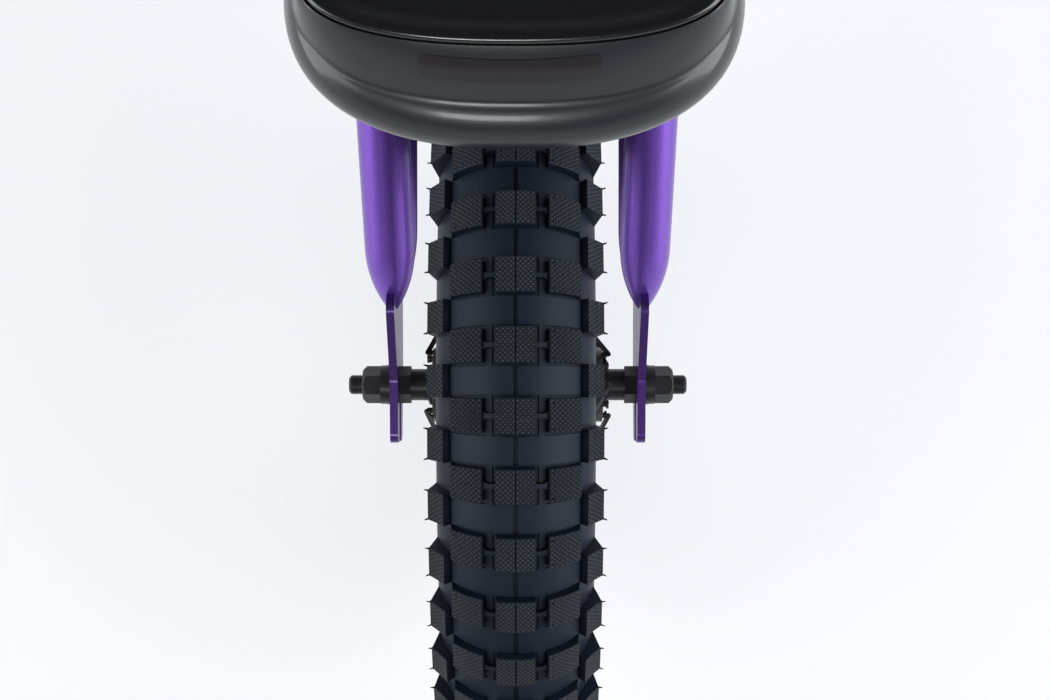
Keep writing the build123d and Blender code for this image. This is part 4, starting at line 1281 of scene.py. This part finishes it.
@dataclass
class Grip:
    """A rubber grip: sleeve, flange, end knob and a row of ribs."""

    name: str
    start: Vector
    along: Vector
    length: float = 92 * MM
    radius: float = 14.2 * MM
    bore: float = 11.1 * MM
    flange: float = 22 * MM
    knob: float = 18.5 * MM
    ribs: int = 17
    rib_step: float = 4.4 * MM

    def build(self) -> list[bpy.types.Object]:
        """Make the sleeve and its ribs.

        Returns:
            Both pieces, riding on the handlebar.
        """
        end = self.length
        outline = [(self.bore, 0), (self.flange - 1 * MM, 0), (self.flange, 0.8 * MM), (self.flange, 3 * MM),
                   (self.flange - 1 * MM, 4 * MM), (self.radius + 1.5 * MM, 4.2 * MM), (self.radius, 6 * MM),
                   (self.radius, end - 9 * MM), (self.knob - 1 * MM, end - 6 * MM), (self.knob, end - 5 * MM),
                   (self.knob, end - 2 * MM), (self.knob - 2 * MM, end), (0.01 * MM, end),
                   (0.01 * MM, end - 4 * MM), (self.bore, end - 4 * MM)]
        sleeve = add_object(self.name + "_sleeve",
                            to_mesh(self.name, turned(outline, self.start, self.along, 64), 40), Finish.GRIP)
        rib = [(self.radius - 0.3 * MM, -1.1 * MM), (self.radius + 0.5 * MM, -0.9 * MM),
               (self.radius + 0.8 * MM, -0.4 * MM), (self.radius + 0.8 * MM, 0.4 * MM),
               (self.radius + 0.5 * MM, 0.9 * MM), (self.radius - 0.3 * MM, 1.1 * MM)]
        seed = to_mesh(self.name + "_rib", turned(rib, Vector(), self.along, 40), 50)
        ribs = line_tree().run(self.name + "_ribs", seed, Finish.GRIP, Count=self.ribs,
                               Start=self.start + self.along * 10 * MM, Step=self.along * self.rib_step)
        rounded(ribs.data, 50)
        for piece in (sleeve, ribs):
            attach(piece, "handlebar")
            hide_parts(self.name)
        log.info("%s: %d ribs", self.name, self.ribs)
        return [sleeve, ribs]


class Tubes:
    """The tubes that carry welds and grips: radii, and where they meet along the axes."""

    head, seat, top, down = 18.5 * MM, 15.0 * MM, 12.7 * MM, 14.3 * MM
    bar, crossbar = 11.1 * MM, 8.0 * MM
    seat_foot_ahead, seat_foot_drop = 215 * MM, 7 * MM  # from the rear axle
    steering_point = 260 * MM  # up the steering axis, as are the next two
    top_at_head, down_at_head = 286 * MM, 243 * MM
    top_at_seat = 100 * MM
    run_up = 60 * MM  # how far before a join a weld starts to look for it
    crossbar_height, bar_rise = 64 * MM, 105 * MM
    bar_foot, bar_shoulder, bar_end = 48 * MM, 95 * MM, 215 * MM


def add_grips(layout: Layout) -> None:
    """Put a grip on each end of the handlebar, which sweeps back and up a little.

    Args:
        layout: Where the handlebar is.
    """
    up = layout.steering_axis
    back, rise, past_end = 16 * MM, 5 * MM, 4 * MM
    span = Tubes.bar_end - Tubes.bar_shoulder
    for side, label in ((LEFT, "left"), (RIGHT, "right")):
        along = (Vector((-up.z, 0, up.x)) * back + Vector((0, side * span, 0)) + up * rise).normalized()
        shoulder = layout.bar_centre + Vector((0, side * Tubes.bar_shoulder, 0)) + up * Tubes.bar_rise
        end = shoulder + along * (span / abs(along.y) + past_end)
        Grip(f"grip_{label}", end - along * Grip.length, along).build()


@dataclass(frozen=True)
class Weld:
    """A bead of overlapping drops where one tube meets another."""

    name: str
    body: str
    start: Vector  # on the axis of the tube that ends
    towards: Vector  # along it, to the tube that it meets
    radius: float
    other: Vector  # on the axis of the tube it meets
    other_axis: Vector
    other_radius: float
    width: float = 3.2 * MM
    finish: Finish = Finish.PAINT
    slot: str = "frame_paint"

    def loop(self, steps: int = 96) -> list[Vector]:
        """Where the two surfaces meet.

        Args:
            steps: How many points.

        Returns:
            The points, once round the tube that ends.
        """
        turn = self.towards.to_track_quat("Z", "X").to_matrix()
        axis = self.other_axis.normalized()
        reach = self.towards - axis * self.towards.dot(axis)
        points = []
        for step in range(steps):
            angle = 2 * math.pi * step / steps
            foot = self.start + turn @ Vector((self.radius * math.cos(angle), self.radius * math.sin(angle), 0))
            gap = foot - self.other
            gap -= axis * gap.dot(axis)
            a, b, c = reach.dot(reach), 2 * gap.dot(reach), gap.dot(gap) - self.other_radius**2
            inside = max(b * b - 4 * a * c, 0.0)
            points.append(foot + self.towards * ((-b - math.sqrt(inside)) / (2 * a)))
        return points

    def build(self, tree: Tree) -> bpy.types.Object:
        """Lay the bead.

        Args:
            tree: The tree that puts drops along a wire.

        Returns:
            The bead.
        """
        wire = bpy.data.meshes.new(self.name + "_wire")
        points = self.loop()
        wire.from_pydata(points, [(i, (i + 1) % len(points)) for i in range(len(points))], [])
        bead = tree.run(self.name, wire, self.finish, Spacing=1.5 * MM, Length=4.2 * MM,
                        Width=self.width, Height=self.width * 0.8)
        bead.data.shade_smooth()
        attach(bead, self.body)
        return bead


def add_welds(layout: Layout) -> None:
    """Lay every bead of the frame and the handlebar.

    Args:
        layout: Where the tubes are.
    """
    tree = bead_tree()
    head, up, seat_up = layout.steering_point, layout.steering_axis, layout.seat_axis
    seat_foot = Vector((layout.rear_axle.x + Tubes.seat_foot_ahead, 0, layout.rear_axle.z - Tubes.seat_foot_drop))
    steering_foot = head - up * Tubes.steering_point
    high_seat = seat_foot + seat_up * Tubes.top_at_seat
    joins = [("top", Tubes.top, steering_foot + up * Tubes.top_at_head, high_seat),
             ("down", Tubes.down, steering_foot + up * Tubes.down_at_head, seat_foot)]
    for tube, radius, front, rear in joins:
        for label, near, far, other, axis, other_radius in (
                ("head", front, rear, head, up, Tubes.head), ("seat", rear, front, seat_foot, seat_up, Tubes.seat)):
            towards = (near - far).normalized()
            start = near - towards * Tubes.run_up
            Weld(f"weld_{tube}_{label}", "frame", start, towards, radius, other, axis, other_radius).build(tree)
    cross = layout.bar_centre + up * Tubes.crossbar_height
    for side, label in ((LEFT, "left"), (RIGHT, "right")):
        foot = Vector((0, side * Tubes.bar_foot, 0))
        leg = (Vector((0, side * Tubes.bar_shoulder, 0)) - foot + up * Tubes.bar_rise).normalized()
        Weld(f"weld_crossbar_{label}", "handlebar", cross, Vector((0, side, 0)), Tubes.crossbar,
             layout.bar_centre + foot, leg, Tubes.bar, 2.4 * MM, Finish.BLACK, "black_paint").build(tree)
    log.info("welds laid")


def add_threads(layout: Layout) -> None:
    """Cut-looking threads on the bare ends of both axles."""
    tree = line_tree()
    root, crown, flank, flat = 3.5 * MM, 3.97 * MM, 0.42 * MM, 0.06 * MM
    first, pitch, turns = 62.6 * MM, 0.95 * MM, 5
    for name, centre, body in (("rear", layout.rear_axle, "frame"), ("front", layout.front_axle, "steering")):
        for side, label in ((LEFT, "left"), (RIGHT, "right")):
            crest = [(root, -flank), (crown, -flat), (crown, flat), (root, flank)]
            seed = to_mesh("crest", turned(crest, Vector(), Vector((0, 1, 0)), 32), 30)
            ends = tree.run(f"{name}_axle_thread_{label}", seed, Finish.HARDWARE, Count=turns,
                            Start=centre + Vector((0, side * first, 0)), Step=Vector((0, side * pitch, 0)))
            rounded(ends.data, 30)
            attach(ends, body)
    log.info("axle threads cut")


# ------------------------------------------------------------------ carried-over nodes

def dress_nodes() -> None:
    """Give every CAD node the finish that it wears."""
    purple = ("head_tube", "top_tube", "down_tube", "seat_tube", "stay", "fork_")
    rules: list[tuple[tuple[str, ...], Finish]] = [
        (("inner_tube",), Finish.INNER), (("hub_balls",), Finish.BALL), (("headset_bearings",), Finish.ZINC),
        (("spoke_nipples",), Finish.ZINC), (("valve",), Finish.CAP), (("grip",), Finish.GRIP),
        (("saddle_base", "saddle_pad"), Finish.BUMPER), (("_tyre",), Finish.TREAD),
        (("axle", "cones", "bolt", "nuts", "washers", "crown_race", "rails", "spokes"), Finish.HARDWARE),
        # The dropout plates wear the darker purple, which is painted shade.
        (("dropouts",), Finish.SHADED_PLATE), (purple, Finish.PAINT),
        (("rim", "hub_shell", "stem", "cap", "headset", "clamp"), Finish.ALLOY)]
    for name, node in frame["nodes"].items():
        chosen = next((finish for words, finish in rules if any(word in name for word in words)), Finish.BLACK)
        node.data.materials.clear()
        node.data.materials.append(finish_of(chosen))
        log.info("%s wears %s", name, chosen.name)


# ------------------------------------------------------------------ stage

@dataclass
class Studio:
    """Floor, lights and camera."""

    layout: Layout
    height: float = 0.660  # of the camera above the rear axle
    ahead: float = 0.014
    aside: float = -0.0029
    lens: float = 55.95
    horizon: float = 0.80
    zenith: float = 0.08

    def floor(self) -> None:
        """A large plain floor."""
        bm = bmesh.new()
        bmesh.ops.create_grid(bm, x_segments=2, y_segments=2, size=12.0)
        add_object("floor", to_mesh("floor", bm, mend=False), Finish.FLOOR)

    def light(self, name: str, place: Point, aim: Point, size: float, power: float,
              tint: tuple[float, float, float] = (1.0, 1.0, 1.0)) -> None:
        """One soft box.

        Args:
            name: The light's name.
            place: Where it stands.
            aim: What it points at.
            size: Its width.
            power: Its watts.
            tint: Its colour.
        """
        data = bpy.data.lights.new(name, "AREA")
        data.size, data.energy, data.color = size, power, tint
        lamp = bpy.data.objects.new(name, data)
        lamp.location = place
        lamp.rotation_euler = (Vector(aim) - Vector(place)).to_track_quat("-Z", "Y").to_euler()
        bpy.context.scene.collection.objects.link(lamp)

    def world(self) -> None:
        """A surround that is pale at the horizon and dim overhead, as in a studio with white walls."""
        world = bpy.data.worlds.new("surround")
        bpy.context.scene.world = world
        world.use_nodes = True
        nodes, links = world.node_tree.nodes, world.node_tree.links
        back = nodes["Background"]
        back.inputs["Color"].default_value = colour(0.93, 0.945, 1.0)
        split, ramp = nodes.new("ShaderNodeSeparateXYZ"), nodes.new("ShaderNodeMapRange")
        ramp.interpolation_type = "SMOOTHSTEP"
        limits = {"From Min": 0.10, "From Max": 0.55, "To Min": self.horizon, "To Max": self.zenith}
        for name, value in limits.items():
            ramp.inputs[name].default_value = value
        links.new(nodes.new("ShaderNodeTexCoord").outputs["Generated"], split.inputs[0])
        links.new(split.outputs[2], ramp.inputs["Value"])
        links.new(ramp.outputs[0], back.inputs["Strength"])

    def camera(self) -> None:
        """The camera straight above the rear axle, with the bike's nose at the top of the picture."""
        data = bpy.data.cameras.new("camera")
        data.lens, data.sensor_width = self.lens, 36.0
        eye = bpy.data.objects.new("camera", data)
        eye.location = self.layout.rear_axle + Vector((self.ahead, self.aside, self.height))
        eye.rotation_euler = (0.0, 0.0, -math.pi / 2)
        bpy.context.scene.collection.objects.link(eye)
        bpy.context.scene.camera = eye

    def build(self) -> None:
        """Set the stage."""
        axle = self.layout.rear_axle
        self.floor()
        self.world()
        target = (axle.x, 0.0, 0.2)
        self.light("left", (axle.x - 0.1, 1.4, 1.1), target, 1.8, 40.0)
        self.light("right", (axle.x - 0.1, -1.4, 1.1), target, 1.8, 52.0, (0.97, 0.98, 1.0))
        self.light("rim", (axle.x - 0.75, 0.1, 1.5), (axle.x, 0.0, 0.35), 0.28, 3.5)
        self.camera()
        bpy.context.scene.view_settings.view_transform = "Standard"


# ------------------------------------------------------------------ all of it

def main() -> None:
    """Build the bike's looks in order."""
    logging.basicConfig(level=logging.INFO, format="%(name)s: %(message)s")
    layout = Layout.from_frame()
    dress_nodes()
    for wheel, axle, first_row in (("rear", layout.rear_axle, -2.155), ("front", layout.front_axle, 1.4)):
        Tyre(f"{wheel}_tyre", f"{wheel}_wheel", axle, layout.tyre_radius, math.radians(first_row)).build()
    add_welds(layout)
    add_threads(layout)
    add_grips(layout)
    low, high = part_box("saddle_pad")
    inset = Vector((Saddle.inset, 0, 0))
    Saddle(Vector(low) + inset, Vector(high) - inset).build()
    Studio(layout).build()


if __name__ == "__main__":
    main()
